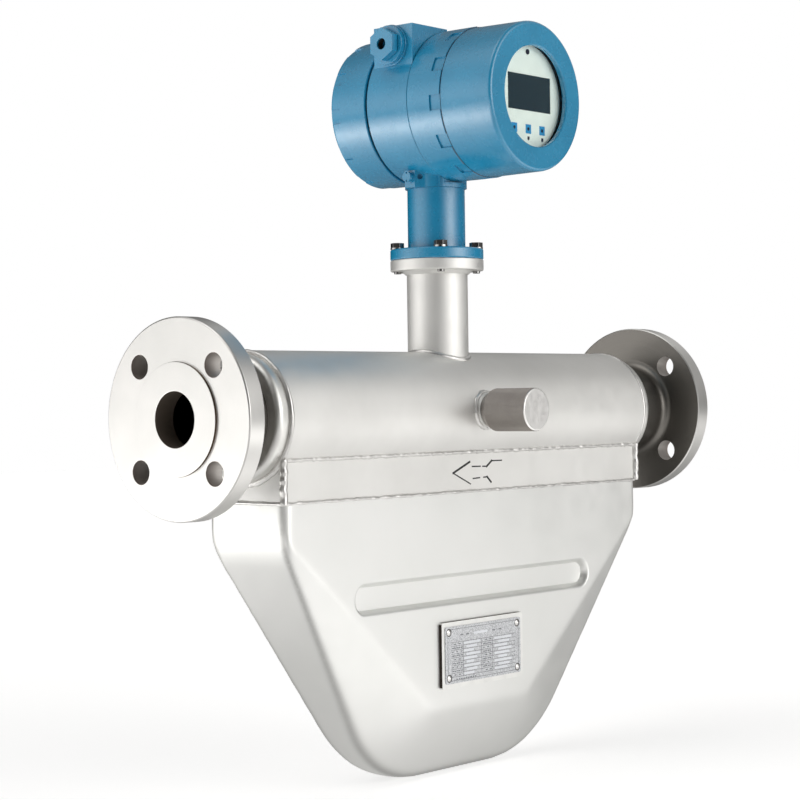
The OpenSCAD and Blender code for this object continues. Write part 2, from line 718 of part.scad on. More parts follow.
module neck_adapter() color("steelblue") difference() {
    at_mid() difference() {
        translate([0, 0, neck_joint]) rotate_extrude() polygon(concat(
            [[adapter_d / 2 - adapter_wall, 0], [neck_flange_r - 0.8, 0], [neck_flange_r, 0.8],
             [neck_flange_r, adapter_flange_t - 1], [neck_flange_r - 1, adapter_flange_t]],
            arc([adapter_d / 2 + 1.5, adapter_flange_t + 1.5], 1.5, 270, 180, 4),
            [[adapter_d / 2, saddle_z - neck_joint],
             [saddle_spigot_r, saddle_z - neck_joint],
             [saddle_spigot_r, saddle_z + saddle_socket - 1 - neck_joint],
             [saddle_spigot_r - 2, saddle_z + saddle_socket - 1 - neck_joint],
             [saddle_spigot_r - 2, adapter_flange_t + 8],
             [adapter_d / 2 - adapter_wall, adapter_flange_t + 4]]));
        translate([0, 0, neck_joint - 1])
            ring(neck_o_ring_r + o_ring_r + o_ring_gap, neck_o_ring_r - o_ring_r - o_ring_gap,
                 1 + 2 * o_ring_r + o_ring_gap);
    }
    at_neck_bolts(neck_joint - 1) cylinder(r = neck_bolt_d / 2 + loose_gap, h = adapter_flange_t + 2);
}
module neck_washers() color("silver") at_neck_bolts(adapter_top)
    ring(neck_washer_d / 2, neck_bolt_d / 2 + loose_gap, neck_washer_t);
module neck_bolts() color("lightgray") at_neck_bolts(0) {
    translate([0, 0, neck_rise - 2])
        cylinder(d = neck_bolt_d, h = adapter_top + neck_washer_t - neck_rise + 2);
    translate([0, 0, adapter_top + neck_washer_t]) hexagon(neck_bolt_af, neck_bolt_head);
}

// ---- Transmitter housing: middle body with two chambers, conduit box and saddle ----

module transmitter_body() color("steelblue") at_mid() difference() {
    union() {
        along_y(z = head_rise) rotate_extrude() polygon([
            [0, -body_front - spigot_len], [spigot_r - 1, -body_front - spigot_len],
            [spigot_r, -body_front - spigot_len + 1], [spigot_r, -body_front],
            [head_r - 0.5, -body_front], [head_r, -body_front + 0.5],
            [head_r, body_rear - 0.5], [head_r - 0.5, body_rear],
            [spigot_r, body_rear], [spigot_r, body_rear + spigot_len - 1],
            [spigot_r - 1, body_rear + spigot_len], [0, body_rear + spigot_len]]);
        translate([-box_reach, box_front, head_rise]) {
            cube([box_reach - 8, box_rear - box_front, box_top]);
        }
        translate([0, 0, saddle_z]) cylinder(d = saddle_d, h = saddle_rim);
        intersection() {
            translate([0, 0, saddle_z]) cylinder(d = saddle_d, h = head_rise - saddle_z);
            translate([-saddle_d, -body_front, saddle_z])
                cube([2 * saddle_d, body_front + body_rear, head_rise - saddle_z]);
        }
        translate([0, 0, saddle_z]) linear_extrude(lug_h) polygon([
            [0, lug_w / 2], [-lug_reach, lug_w / 2], [-lug_reach, lug_chamfer - lug_w / 2],
            [lug_chamfer - lug_reach, -lug_w / 2], [0, -lug_w / 2]]);
        translate([0, 0, saddle_z]) rotate(226) translate([saddle_d / 2 - 2, -rib_w / 2, 0])
            cube([2 + rib_reach, rib_w, rib_h]);
    }
    along_y(z = head_rise) translate([0, 0, -body_front - spigot_len - 1])
        cylinder(r = chamber_r, h = partition_front + body_front + spigot_len + 1);
    along_y(z = head_rise) translate([0, 0, partition_front + partition_t])
        cylinder(r = chamber_r, h = body_rear + spigot_len + 1 - partition_front - partition_t);
    translate([0, 0, saddle_z - 1]) cylinder(r = saddle_spigot_r + weld_gap, h = saddle_socket + 1);
    translate([0, 0, saddle_z]) cylinder(r = wire_bore_r, h = head_r - 34);
    translate([-box_reach - 1, gland_y, gland_z]) along_x()
        cylinder(r = gland_stub_r + thread_gap, h = 24);
    translate([-box_reach + 22, gland_y, gland_z]) along_x() cylinder(r = box_bore_r, h = 24);
    translate([-lug_reach - 1, ground_y, ground_z]) along_x()
        cylinder(r = ground_screw_r + thread_gap, h = 9);
    translate([lug_chamfer / 2 - lug_reach, (lug_chamfer - lug_w) / 2, ground_z]) rotate(45)
        translate([-1, 0, 0]) along_x() cylinder(r = 2.2, h = 5, $fn = 32);
}
module ground_washer() color("steelblue") at_mid()
    translate([-lug_reach - 1, ground_y, ground_z]) along_x()
        ring(5, ground_screw_r + loose_gap, 1);
module ground_screw() color("steelblue") at_mid()
    translate([-lug_reach - 4.5, ground_y, ground_z]) along_x() {
    difference() {
        cylinder(r = 4.2, h = 3.5);
        translate([-5, -0.6, -1]) cube([10, 1.2, 2.4]);
    }
    cylinder(r = ground_screw_r, h = 10);
}

// ---- Covers ----

// Twelve shallow notches in a ring, at the end that lies away from the thread.
module notches(z, phase) for (i = [0 : notch_count - 1])
    rotate(i * 360 / notch_count + phase - notch_angle / 2) translate([0, 0, z])
        rotate_extrude(angle = notch_angle)
            translate([ring_r - notch_depth, 0]) square([notch_depth + 2, notch_len]);

// The front cover, drawn from its seam (local z = 0) to its face.
module front_cover() color("steelblue") at_mid() translate([0, front_cover_y, head_rise])
    rotate([90, 0, 0]) difference() {
        rotate_extrude() polygon(concat(
            [[0, 0], [ring_r - 0.6, 0], [ring_r, 0.6],
             [ring_r, front_ring_len - 0.6], [ring_r - 0.6, front_ring_len],
             [head_r, front_ring_len]],
            arc([cover_face_r - cover_edge_r, front_cover_len - cover_edge_r], cover_edge_r, 0, 90, 5),
            [[0, front_cover_len]]));
        notches(front_ring_len - notch_len, 5);
        translate([0, 0, -1]) cylinder(r = cover_bore_r, h = spigot_len + 3);
        translate([0, 0, -1])
            cylinder(r = cover_o_ring_r + o_ring_r + o_ring_gap, h = 1 + 2 * o_ring_r + o_ring_gap);
        cylinder(r = head_r - cover_wall, h = front_cover_len - window_lip - glass_t - ring_t);
        cylinder(r = ring_outer_r + thread_gap, h = front_cover_len - window_lip - glass_t + eps);
        cylinder(r = glass_r + loose_gap, h = front_cover_len - window_lip);
        cylinder(r = window_r, h = front_cover_len + 1);
        translate([0, 0, front_cover_len - 0.8]) cylinder(r1 = window_r, r2 = window_r + 1, h = 1);
    }
module window_glass() color("lightcyan", 0.35) at_mid()
    along_y(z = head_rise) translate([0, 0, glass_front]) cylinder(r = glass_r, h = glass_t);
module window_gasket() color("black") at_mid()
    along_y(z = head_rise) translate([0, 0, glass_rear]) ring(ring_outer_r, ring_bore_r, gasket_t);
module window_ring() color("dimgray") at_mid()
    along_y(z = head_rise) translate([0, 0, glass_rear + gasket_t])
        ring(ring_outer_r, ring_bore_r, ring_t - gasket_t);

// The rear cover, drawn from its seam (local z = 0) to its closed end.
module rear_cover() color("steelblue") at_mid() along_y(z = head_rise)
    translate([0, 0, rear_cover_y]) difference() {
        rotate_extrude() polygon(concat(
            [[0, 0], [ring_r - 0.6, 0], [ring_r, 0.6]],
            arc([ring_r - cover_edge_r, rear_cover_len - cover_edge_r], cover_edge_r, 0, 90, 5),
            [[0, rear_cover_len]]));
        notches(rear_cover_len - notch_len, -6);
        translate([0, 0, -1]) cylinder(r = cover_bore_r, h = spigot_len + 3);
        translate([0, 0, -1])
            cylinder(r = cover_o_ring_r + o_ring_r + o_ring_gap, h = 1 + 2 * o_ring_r + o_ring_gap);
        cylinder(r = head_r - cover_wall, h = rear_cover_len - cover_wall);
    }
module front_o_ring() color("black") at_mid() along_y(z = head_rise)
    translate([0, 0, front_cover_y - o_ring_r - 0.1]) o_ring(cover_o_ring_r);
module rear_o_ring() color("black") at_mid() along_y(z = head_rise)
    translate([0, 0, rear_cover_y + o_ring_r + 0.1]) o_ring(cover_o_ring_r);

// ---- Display and electronics ----

// Stands a flat drawing of the display up, centred on the housing's axis.
module on_display(y, t) at_mid() translate([0, 0, head_rise]) upright(y, t) children();
module at_keys() for (i = [-1 : 1]) translate([i * key_pitch, -key_drop]) children();
module post_places() for (a = [90, 210, 330]) translate(post_pitch_r * unit(a)) children();

module display_panel() color("honeydew") on_display(panel_y, panel_t) difference() {
    circle(d = panel_d);
    translate(lcd_offset) square([lcd_w, lcd_h], center = true);
    at_keys() {
        square(key_side, center = true);
        translate([0, -sensor_drop]) circle(r = sensor_r, $fn = 24);
    }
    translate([0, post_pitch_r]) circle(r = 1.5, $fn = 24);
}
module lcd() color("darkslategray") {
    on_display(panel_y + 0.4, panel_t) translate(lcd_offset)
        square([lcd_w - 0.2, lcd_h - 0.2], center = true);
    on_display(panel_y + 0.4 + panel_t, board_y - panel_y - panel_t - 0.4) translate(lcd_offset)
        square([lcd_w + 4, lcd_h + 4], center = true);
}
module key_fields() color("deepskyblue") on_display(panel_y, board_y - panel_y) difference() {
    at_keys() square(key_side - 0.2, center = true);
    at_keys() circle(r = sensor_r + 0.1, $fn = 24);
}
module key_sensors() color("midnightblue") on_display(panel_y + 0.1, board_y - panel_y - 0.1) {
    at_keys() circle(r = sensor_r, $fn = 24);
    at_keys() translate([0, -sensor_drop]) circle(r = sensor_r - 0.1, $fn = 24);
}
module panel_screw() color("silver") {
    on_display(panel_y - 0.5, 0.5) translate([0, post_pitch_r]) circle(r = 2.2, $fn = 24);
    on_display(panel_y, board_y - panel_y) translate([0, post_pitch_r]) circle(r = 1.4, $fn = 24);
}
module display_board() color("darkgreen") on_display(board_y, board_t) circle(d = panel_d - 1);
module board_posts() color("silver")
    on_display(board_y + board_t, partition_front - board_y - board_t) post_places() circle(r = post_r);
module main_board() color("darkgreen") on_display(main_board_y, board_t) difference() {
    circle(r = main_board_r);
    post_places() circle(r = post_r + weld_gap);
}
module board_parts() color("dimgray") {
    on_display(main_board_y - 14, 14) {
        translate([-14, -4]) square([26, 30], center = true);
        translate([16, 10]) circle(r = 8);
        translate([16, -10]) circle(r = 8);
    }
    on_display(main_board_y + board_t, 8) translate([0, 4]) square([36, 10], center = true);
}
module at_terminals() for (i = [0 : terminal_count - 1])
    translate([(i + 0.5) * terminal_pitch - terminal_w / 2, terminal_y + 12, head_rise])
        rotate([-90, 0, 0]) children();
module terminal_block() color("darkslategray") at_mid() difference() {
    translate([-terminal_w / 2, terminal_y, head_rise - terminal_h / 2])
        cube([terminal_w, terminal_len, terminal_h]);
    at_terminals() cylinder(r = 3, h = terminal_len - 11);
}
module terminal_screws() color("silver") at_mid() at_terminals() cylinder(r = 2.8, h = 5);

// ---- Cable gland on the conduit box ----

module at_gland() at_mid() translate([0, gland_y, gland_z]) rotate([0, -90, 0]) children();
module gland_washer() color("steelblue") at_gland() translate([0, 0, box_reach])
    ring(gland_collar_d / 2 + 1, gland_stub_r + loose_gap, gland_washer_t);
module gland_body() color("steelblue") at_gland() difference() {
    union() {
        translate([0, 0, box_reach - 14]) cylinder(r = gland_stub_r, h = 14 + gland_washer_t + eps);
        translate([0, 0, box_reach + gland_washer_t])
            cylinder(d = gland_collar_d, h = gland_collar_t);
        translate([0, 0, seal_start - eps]) cylinder(r = gland_thread_r, h = gland_spigot);
    }
    translate([0, 0, box_reach - 15]) cylinder(d = cable_hole_d, h = 40);
    translate([0, 0, seal_start + gland_spigot - seal_len])
        cylinder(r = seal_r + thread_gap, h = seal_len + 1);
}
module gland_seal() color("black") at_gland() translate([0, 0, seal_start + gland_spigot - seal_len + eps])
    ring(seal_r, cable_hole_d / 2, seal_len - 2 * eps);
module gland_nut() color("steelblue") at_gland() translate([0, 0, seal_start + loose_gap]) difference() {
    hexagon(gland_af, gland_nut_len);
    translate([0, 0, -1]) cylinder(r = gland_thread_r + thread_gap, h = gland_spigot + 1);
    cylinder(d = cable_hole_d, h = gland_nut_len + 1);
}

outlet_flange();
inlet_flange();
outlet_splitter();
inlet_splitter();
manifold_tube();
collar();
case_front();
case_rear();
flow_tube_front();
flow_tube_rear();
brace_bars();
coil_brackets();
coils();
magnet_brackets();
magnets();
temperature_sensor();
nameplate_holder();
nameplate();
nameplate_rivets();
port_stub();
port_seal();
port_cap();
neck_pipe();
neck_flange();
feedthrough();
feedthrough_pins();
neck_o_ring();
neck_adapter();
neck_washers();
neck_bolts();
transmitter_body();
ground_washer();
ground_screw();
gland_washer();
gland_body();
gland_seal();
gland_nut();
front_o_ring();
front_cover();
window_glass();
window_gasket();
window_ring();
rear_o_ring();
rear_cover();
display_panel();
lcd();
key_fields();
key_sensors();
panel_screw();
display_board();
board_posts();
main_board();
board_parts();
terminal_block();
terminal_screws();
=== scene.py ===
"""Looks of a DN40 coriolis flow meter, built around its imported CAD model.

The frame is the CAD's: origin at the centre of the outlet flange's raised face, +X along the
pipe to the inlet flange, -Y the front with the display, +Z up. Every length is in metres.
"""

import json
import math

import bmesh
import bpy
from mathutils import Matrix, Vector
from mathutils.kdtree import KDTree

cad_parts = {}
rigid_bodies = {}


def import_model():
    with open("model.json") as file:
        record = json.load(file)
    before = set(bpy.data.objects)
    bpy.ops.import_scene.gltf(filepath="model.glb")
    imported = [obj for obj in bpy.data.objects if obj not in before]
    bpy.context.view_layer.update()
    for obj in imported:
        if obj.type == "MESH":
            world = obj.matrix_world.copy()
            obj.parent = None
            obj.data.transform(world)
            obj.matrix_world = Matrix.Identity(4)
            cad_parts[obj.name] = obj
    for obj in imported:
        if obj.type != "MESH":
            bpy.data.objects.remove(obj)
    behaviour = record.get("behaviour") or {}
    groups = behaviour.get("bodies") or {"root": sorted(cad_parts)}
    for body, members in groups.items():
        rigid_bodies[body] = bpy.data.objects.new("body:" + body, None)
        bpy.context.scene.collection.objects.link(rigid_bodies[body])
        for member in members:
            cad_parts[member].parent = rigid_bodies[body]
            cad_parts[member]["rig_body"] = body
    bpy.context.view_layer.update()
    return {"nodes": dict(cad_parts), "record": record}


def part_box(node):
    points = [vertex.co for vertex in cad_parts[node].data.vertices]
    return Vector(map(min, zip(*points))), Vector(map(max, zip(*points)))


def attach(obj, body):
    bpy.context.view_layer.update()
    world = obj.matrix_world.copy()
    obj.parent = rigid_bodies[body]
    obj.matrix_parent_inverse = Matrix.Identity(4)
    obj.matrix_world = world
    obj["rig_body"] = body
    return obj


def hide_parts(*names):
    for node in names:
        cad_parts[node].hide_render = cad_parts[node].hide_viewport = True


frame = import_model()
nodes = frame["nodes"]

MM = 0.001


def middle(node):
    """Centre of a CAD node's box."""
    low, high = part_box(node)
    return (low + high) / 2


MID_X = middle("manifold_tube").x
PIPE_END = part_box("inlet_flange")[1].x
MANIFOLD_LOW, MANIFOLD_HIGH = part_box("manifold_tube")
MANIFOLD_R = (MANIFOLD_HIGH.z - MANIFOLD_LOW.z) / 2
HEAD_Z = middle("front_cover").z
# The seam in the front cover, where its wide ring ends.
RING_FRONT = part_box("front_cover")[1].y - 34.5 * MM


# ---- Camera, light and floor ----

CAMERA_PLACE = (-1.01667, -1.08943, 0.01478)
YAW, PITCH, ROLL = 0.8609, -0.0019, -0.0142  # radians, from a level look along +Y
LENS, SENSOR = 92, 36

# Panels in the tent: degrees round from +X, degrees up, strength.
PANELS = (
    (-83, 6, 3.65),  # in front of the case
    (-60, 32, 1.35),
    (138, 6, 1.15),  # low, off the outlet end
    (166, 6, 0.9),
    (154, 60, 2.3),  # overhead and behind
    (51, 60, 0.3),
    (12, 32, 0.7),
)
PANEL_SPREAD = 0.27
# Pools of light on the floor: x, y, spread, strength.
POOLS = (
    (0.17, -0.22, 0.12, 0.8),  # close in front of the case
    (0.43, -0.22, 0.12, 0.6),
    (0.85, -0.95, 0.38, 1.75),  # in front of the inlet end
    (-0.65, 0.92, 0.28, 4.0),  # behind the outlet end
    (-0.3, 0.5, 0.3, 0.7),
    (-1.33, 1.63, 0.9, 1.9),  # wide and faint, all round
    (-2.0, 0.0, 0.9, 2.5),
    (0.3, -2.3, 0.9, 0.75),
    (1.93, -1.63, 0.9, 0.85),
)
LAMP_TONE = (1, 0.99, 0.975, 1)
FLOOR_REACH = 6
FLOOR_GAP = 1.5 * MM
# The floor glows evenly where the camera sees it, and what it bounces back is dimmer.
FLOOR_GLOW = 0.56
FLOOR_SEEN, FLOOR_BOUNCE = 0.8, 0.25


def place_camera():
    """A long lens at pipe height, in front of the outlet end."""
    level = math.cos(PITCH)
    ahead = Vector((math.sin(YAW) * level, math.cos(YAW) * level, math.sin(PITCH)))
    level_right = ahead.cross(Vector((0, 0, 1))).normalized()
    level_up = level_right.cross(ahead)
    right = math.cos(ROLL) * level_right + math.sin(ROLL) * level_up
    up = -math.sin(ROLL) * level_right + math.cos(ROLL) * level_up
    camera = bpy.data.objects.new("camera", bpy.data.cameras.new("camera"))
    camera.data.sensor_width = SENSOR
    camera.data.lens = LENS
    camera.data.clip_start = 0.05
    turn = Matrix((right, up, -ahead)).transposed().to_4x4()
    camera.matrix_world = Matrix.Translation(CAMERA_PLACE) @ turn
    bpy.context.scene.collection.objects.link(camera)
    bpy.context.scene.camera = camera


def glow(tree, place, spots):
    """The sum of soft round spots of light; each is (centre, spread, strength)."""
    total = None
    for centre, spread, strength in spots:
        away = tree.nodes.new("ShaderNodeVectorMath")
        away.operation = "DISTANCE"
        tree.links.new(place, away.inputs[0])
        away.inputs[1].default_value = centre
        made = away.outputs["Value"]
        for operation, value in (("POWER", 2), ("MULTIPLY", -0.5 / spread ** 2),
                                 ("EXPONENT", None), ("MULTIPLY", strength)):
            step = tree.nodes.new("ShaderNodeMath")
            step.operation = operation
            tree.links.new(made, step.inputs[0])
            if value is not None:
                step.inputs[1].default_value = value
            made = step.outputs[0]
        if total is not None:
            both = tree.nodes.new("ShaderNodeMath")
            tree.links.new(total, both.inputs[0])
            tree.links.new(made, both.inputs[1])
            made = both.outputs[0]
        total = made
    return total


def towards(azimuth, height):
    """A unit vector from degrees round from +X and degrees above the floor."""
    a, h = math.radians(azimuth), math.radians(height)
    return (math.cos(h) * math.cos(a), math.cos(h) * math.sin(a), math.sin(h))


def studio_world():
    """A tent of soft panels round the meter; plain white where the camera sees it."""
    world = bpy.data.worlds.new("studio")
    bpy.context.scene.world = world
    world.use_nodes = True
    tree = world.node_tree
    tree.nodes.clear()
    add, link = tree.nodes.new, tree.links.new
    direction = add("ShaderNodeTexCoord").outputs["Generated"]
    tent = add("ShaderNodeBackground")
    tent.inputs["Color"].default_value = LAMP_TONE
    spots = [(towards(azimuth, height), PANEL_SPREAD, power) for azimuth, height, power in PANELS]
    link(glow(tree, direction, spots), tent.inputs["Strength"])
    white = add("ShaderNodeBackground")
    white.inputs["Color"].default_value = (1, 1, 1, 1)
    path = add("ShaderNodeLightPath")
    either = add("ShaderNodeMath")
    either.operation = "MAXIMUM"
    link(path.outputs["Is Camera Ray"], either.inputs[0])
    link(path.outputs["Is Transmission Ray"], either.inputs[1])
    mix = add("ShaderNodeMixShader")
    link(either.outputs[0], mix.inputs["Fac"])
    link(tent.outputs[0], mix.inputs[1])
    link(white.outputs[0], mix.inputs[2])
    out = add("ShaderNodeOutputWorld")
    link(mix.outputs[0], out.inputs["Surface"])


def pale_floor():
    """A wide white sweep just under the case, lit in soft pools, which keeps a faint shadow."""
    mesh = bpy.data.meshes.new("floor")
    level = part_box("case_front")[0].z - FLOOR_GAP
    ways = ((-1, -1), (1, -1), (1, 1), (-1, 1))
    corners = [(x * FLOOR_REACH, y * FLOOR_REACH, level) for x, y in ways]
    mesh.from_pydata(corners, [], [(0, 1, 2, 3)])
    floor = bpy.data.objects.new("floor", mesh)
    bpy.context.scene.collection.objects.link(floor)
    material = bpy.data.materials.new("floor_white")
    material.use_nodes = True
    tree = material.node_tree
    tree.nodes.clear()
    add, link = tree.nodes.new, tree.links.new
    paper = add("ShaderNodeBsdfDiffuse")
    paper.inputs["Color"].default_value = (FLOOR_SEEN, FLOOR_SEEN, FLOOR_SEEN, 1)
    dim = add("ShaderNodeBsdfDiffuse")
    dim.inputs["Color"].default_value = (FLOOR_BOUNCE, FLOOR_BOUNCE, FLOOR_BOUNCE, 1)
    even = add("ShaderNodeEmission")
    even.inputs["Strength"].default_value = FLOOR_GLOW
    place = add("ShaderNodeTexCoord").outputs["Object"]
    pools = add("ShaderNodeEmission")
    pools.inputs["Color"].default_value = LAMP_TONE
    spots = [((x, y, level), spread, power) for x, y, spread, power in POOLS]
    link(glow(tree, place, spots), pools.inputs["Strength"])
    path = add("ShaderNodeLightPath")
    seen, lit = add("ShaderNodeAddShader"), add("ShaderNodeAddShader")
    mix = add("ShaderNodeMixShader")
    out = add("ShaderNodeOutputMaterial")
    link(paper.outputs[0], seen.inputs[0])
    link(even.outputs[0], seen.inputs[1])
    link(dim.outputs[0], lit.inputs[0])
    link(pools.outputs[0], lit.inputs[1])
    link(path.outputs["Is Camera Ray"], mix.inputs["Fac"])
    link(lit.outputs[0], mix.inputs[1])
    link(seen.outputs[0], mix.inputs[2])
    link(mix.outputs[0], out.inputs["Surface"])
    mesh.materials.append(material)


# ---- Finishes ----

# Further than any part of the meter: a mask with this limit is open on that side.
FAR = 1
# The span of a noise's values between which tones and gloss change.
MOTTLE = (0.3, 0.7)


def finish(name, **sockets):
    """A new material with its principled shader's plain sockets set."""
    material = bpy.data.materials.new(name)
    material.use_nodes = True
    bsdf = material.node_tree.nodes["Principled BSDF"]
    for socket, value in sockets.items():
        bsdf.inputs[socket.replace("_", " ")].default_value = value
    return material


class Grain:
    """Adds grain to a finish: noise in the object's own coordinates, for tone, gloss and relief."""

    def __init__(self, material):
        self.tree = material.node_tree
        self.bsdf = self.tree.nodes["Principled BSDF"]
        self.coordinates = self.node("ShaderNodeTexCoord").outputs["Object"]
        self.relief = None

    def node(self, kind, **values):
        """A new node with its own settings, such as its operation, already made."""
        made = self.tree.nodes.new(kind)
        for key, value in values.items():
            setattr(made, key, value)
        return made

    def link(self, a, b):
        self.tree.links.new(a, b)

    def noise(self, scale, detail=2.0, stretch=(1, 1, 1)):
        """Soft noise from 0 to 1, drawn out along an axis where its stretch is small."""
        placing = self.node("ShaderNodeMapping")
        placing.inputs["Scale"].default_value = stretch
        self.link(self.coordinates, placing.inputs["Vector"])
        made = self.node("ShaderNodeTexNoise")
        made.inputs["Scale"].default_value = scale
        made.inputs["Detail"].default_value = detail
        self.link(placing.outputs[0], made.inputs["Vector"])
        return made.outputs["Fac"]

    def turned(self, scale):
        """Rings round the pipe's axis, as a lathe leaves them."""
        flat = self.node("ShaderNodeVectorMath", operation="MULTIPLY")
        self.link(self.coordinates, flat.inputs[0])
        flat.inputs[1].default_value = (0, 1, 1)
        radius = self.node("ShaderNodeVectorMath", operation="LENGTH")
        self.link(flat.outputs[0], radius.inputs[0])
        rings = self.node("ShaderNodeTexNoise", noise_dimensions="1D")
        rings.inputs["Scale"].default_value = scale
        rings.inputs["Detail"].default_value = 3
        self.link(radius.outputs["Value"], rings.inputs["W"])
        return rings.outputs["Fac"]

    def sum(self, operation, a, b=None, c=None):
        """One step of arithmetic on sockets or numbers."""
        made = self.node("ShaderNodeMath", operation=operation)
        for socket, value in zip(made.inputs, (a, b, c)):
            if isinstance(value, (int, float)):
                socket.default_value = value
            elif value is not None:
                self.link(value, socket)
        return made.outputs[0]

    def place(self):
        """The object's own X, Y and Z as three sockets."""
        split = self.node("ShaderNodeSeparateXYZ")
        self.link(self.coordinates, split.inputs[0])
        return split.outputs

    def radius(self, a, b):
        """The distance from an axis, given the two places across it."""
        squares = [self.sum("MULTIPLY", c, c) for c in (a, b)]
        return self.sum("SQRT", self.sum("ADD", *squares))

    def between(self, value, low, high, soft=0.1 * MM):
        """A mask, still to be clamped: 1 or more between two limits, and 0 or less outside."""
        half = (high - low) / 2
        off = self.sum("ABSOLUTE", self.sum("SUBTRACT", value, (low + high) / 2))
        return self.sum("DIVIDE", self.sum("SUBTRACT", half, off), soft)

    def clamp(self, value):
        """A value held between 0 and 1."""
        made = self.node("ShaderNodeClamp")
        self.link(value, made.inputs["Value"])
        return made.outputs[0]

    def all_of(self, *masks):
        """A mask that is 1 where all the given ones are."""
        made = self.clamp(masks[0])
        for mask in masks[1:]:
            made = self.sum("MULTIPLY", made, self.clamp(mask))
        return made

    def value_over(self, mask, socket, value):
        """Lays another plain value over a shader socket where a mask is 1."""
        blend = self.node("ShaderNodeMix")
        given = self.bsdf.inputs[socket]
        self.link(mask, blend.inputs[0])
        if given.is_linked:
            self.link(given.links[0].from_socket, blend.inputs[2])
        else:
            blend.inputs[2].default_value = given.default_value
        blend.inputs[3].default_value = value
        self.link(blend.outputs[0], given)

    def stain(self, mask, colour):
        """Lays another tone over the base where a mask is 1."""
        blend = self.node("ShaderNodeMix", data_type="RGBA")
        base = self.bsdf.inputs["Base Color"]
        self.link(mask, blend.inputs[0])
        if base.is_linked:
            self.link(base.links[0].from_socket, blend.inputs[6])
        else:
            blend.inputs[6].default_value = base.default_value
        blend.inputs[7].default_value = (*colour, 1)
        self.link(blend.outputs[2], base)

    def tone(self, factor, low, high, start=MOTTLE[0], end=MOTTLE[1]):
        """The base colour, from one tone to another as the noise rises."""
        made = self.node("ShaderNodeValToRGB")
        for element, place, colour in zip(made.color_ramp.elements, (start, end), (low, high)):
            element.position = place
            element.color = (*colour, 1)
        self.link(factor, made.inputs["Fac"])
        self.link(made.outputs["Color"], self.bsdf.inputs["Base Color"])

    def gloss(self, factor, low, high):
        """The roughness, from low to high as the noise rises."""
        made = self.node("ShaderNodeMapRange")
        made.inputs["From Min"].default_value, made.inputs["From Max"].default_value = MOTTLE
        made.inputs["To Min"].default_value = low
        made.inputs["To Max"].default_value = high
        self.link(factor, made.inputs["Value"])
        self.link(made.outputs["Result"], self.bsdf.inputs["Roughness"])

    def bump(self, factor, strength, distance):
        """Relief on top of what earlier calls gave."""
        made = self.node("ShaderNodeBump")
        made.inputs["Strength"].default_value = strength
        made.inputs["Distance"].default_value = distance
        self.link(factor, made.inputs["Height"])
        if self.relief is not None:
            self.link(self.relief, made.inputs["Normal"])
        self.relief = made.outputs["Normal"]
        self.link(self.relief, self.bsdf.inputs["Normal"])


def blasted_steel():
    """Bead-blasted sheet: even, pale and dull, with a soft mottle and painted shade along the bend
    beside the side wall.
    """
    material = finish("blasted_steel", Metallic=1.0, Roughness=0.46)
    grain = Grain(material)
    grain.tone(grain.noise(7, 3), (0.80, 0.805, 0.785), (0.86, 0.86, 0.845))
    grain.gloss(grain.noise(60, 4), 0.42, 0.50)
    grain.bump(grain.noise(14, 2), 0.10, 0.0010)
    grain.bump(grain.noise(2600, 1), 0.10, 0.0002)
    # Painted shade along the bend beside the side wall, read from the case's bend_shade attribute.
    bend = grain.node("ShaderNodeAttribute", attribute_name="bend_shade")
    grain.stain(grain.clamp(bend.outputs["Fac"]), (0.36, 0.36, 0.35))
    return material


def satin_tube():
    """Polished and blasted tube, with faint lines round the pipe's axis."""
    material = finish("satin_tube", Metallic=1.0, Roughness=0.5)
    grain = Grain(material)
    grain.tone(grain.noise(14, 3), (0.75, 0.745, 0.725), (0.82, 0.815, 0.795))
    grain.gloss(grain.noise(90, 3), 0.50, 0.58)
    grain.bump(grain.noise(900, 2, (1, 0.06, 0.06)), 0.08, 0.0002)
    grain.bump(grain.noise(2400, 1), 0.08, 0.0002)
    return material


# Radii of a flange's features, its holes' place across the axis, and depths from its raised face.
# Radii of holes and the bore lie just outside the real ones, so that their walls are covered.
FLANGE = {
    "bore_r": 20.9 * MM,
    "hub_r": 33 * MM,
    "face_r": 42 * MM,
    "rim_r": 74.45 * MM,
    "bolt": 38.9 * MM,
    "hole_r": 9.25 * MM,
    "raised": 2 * MM,
    "back": 18 * MM,
}


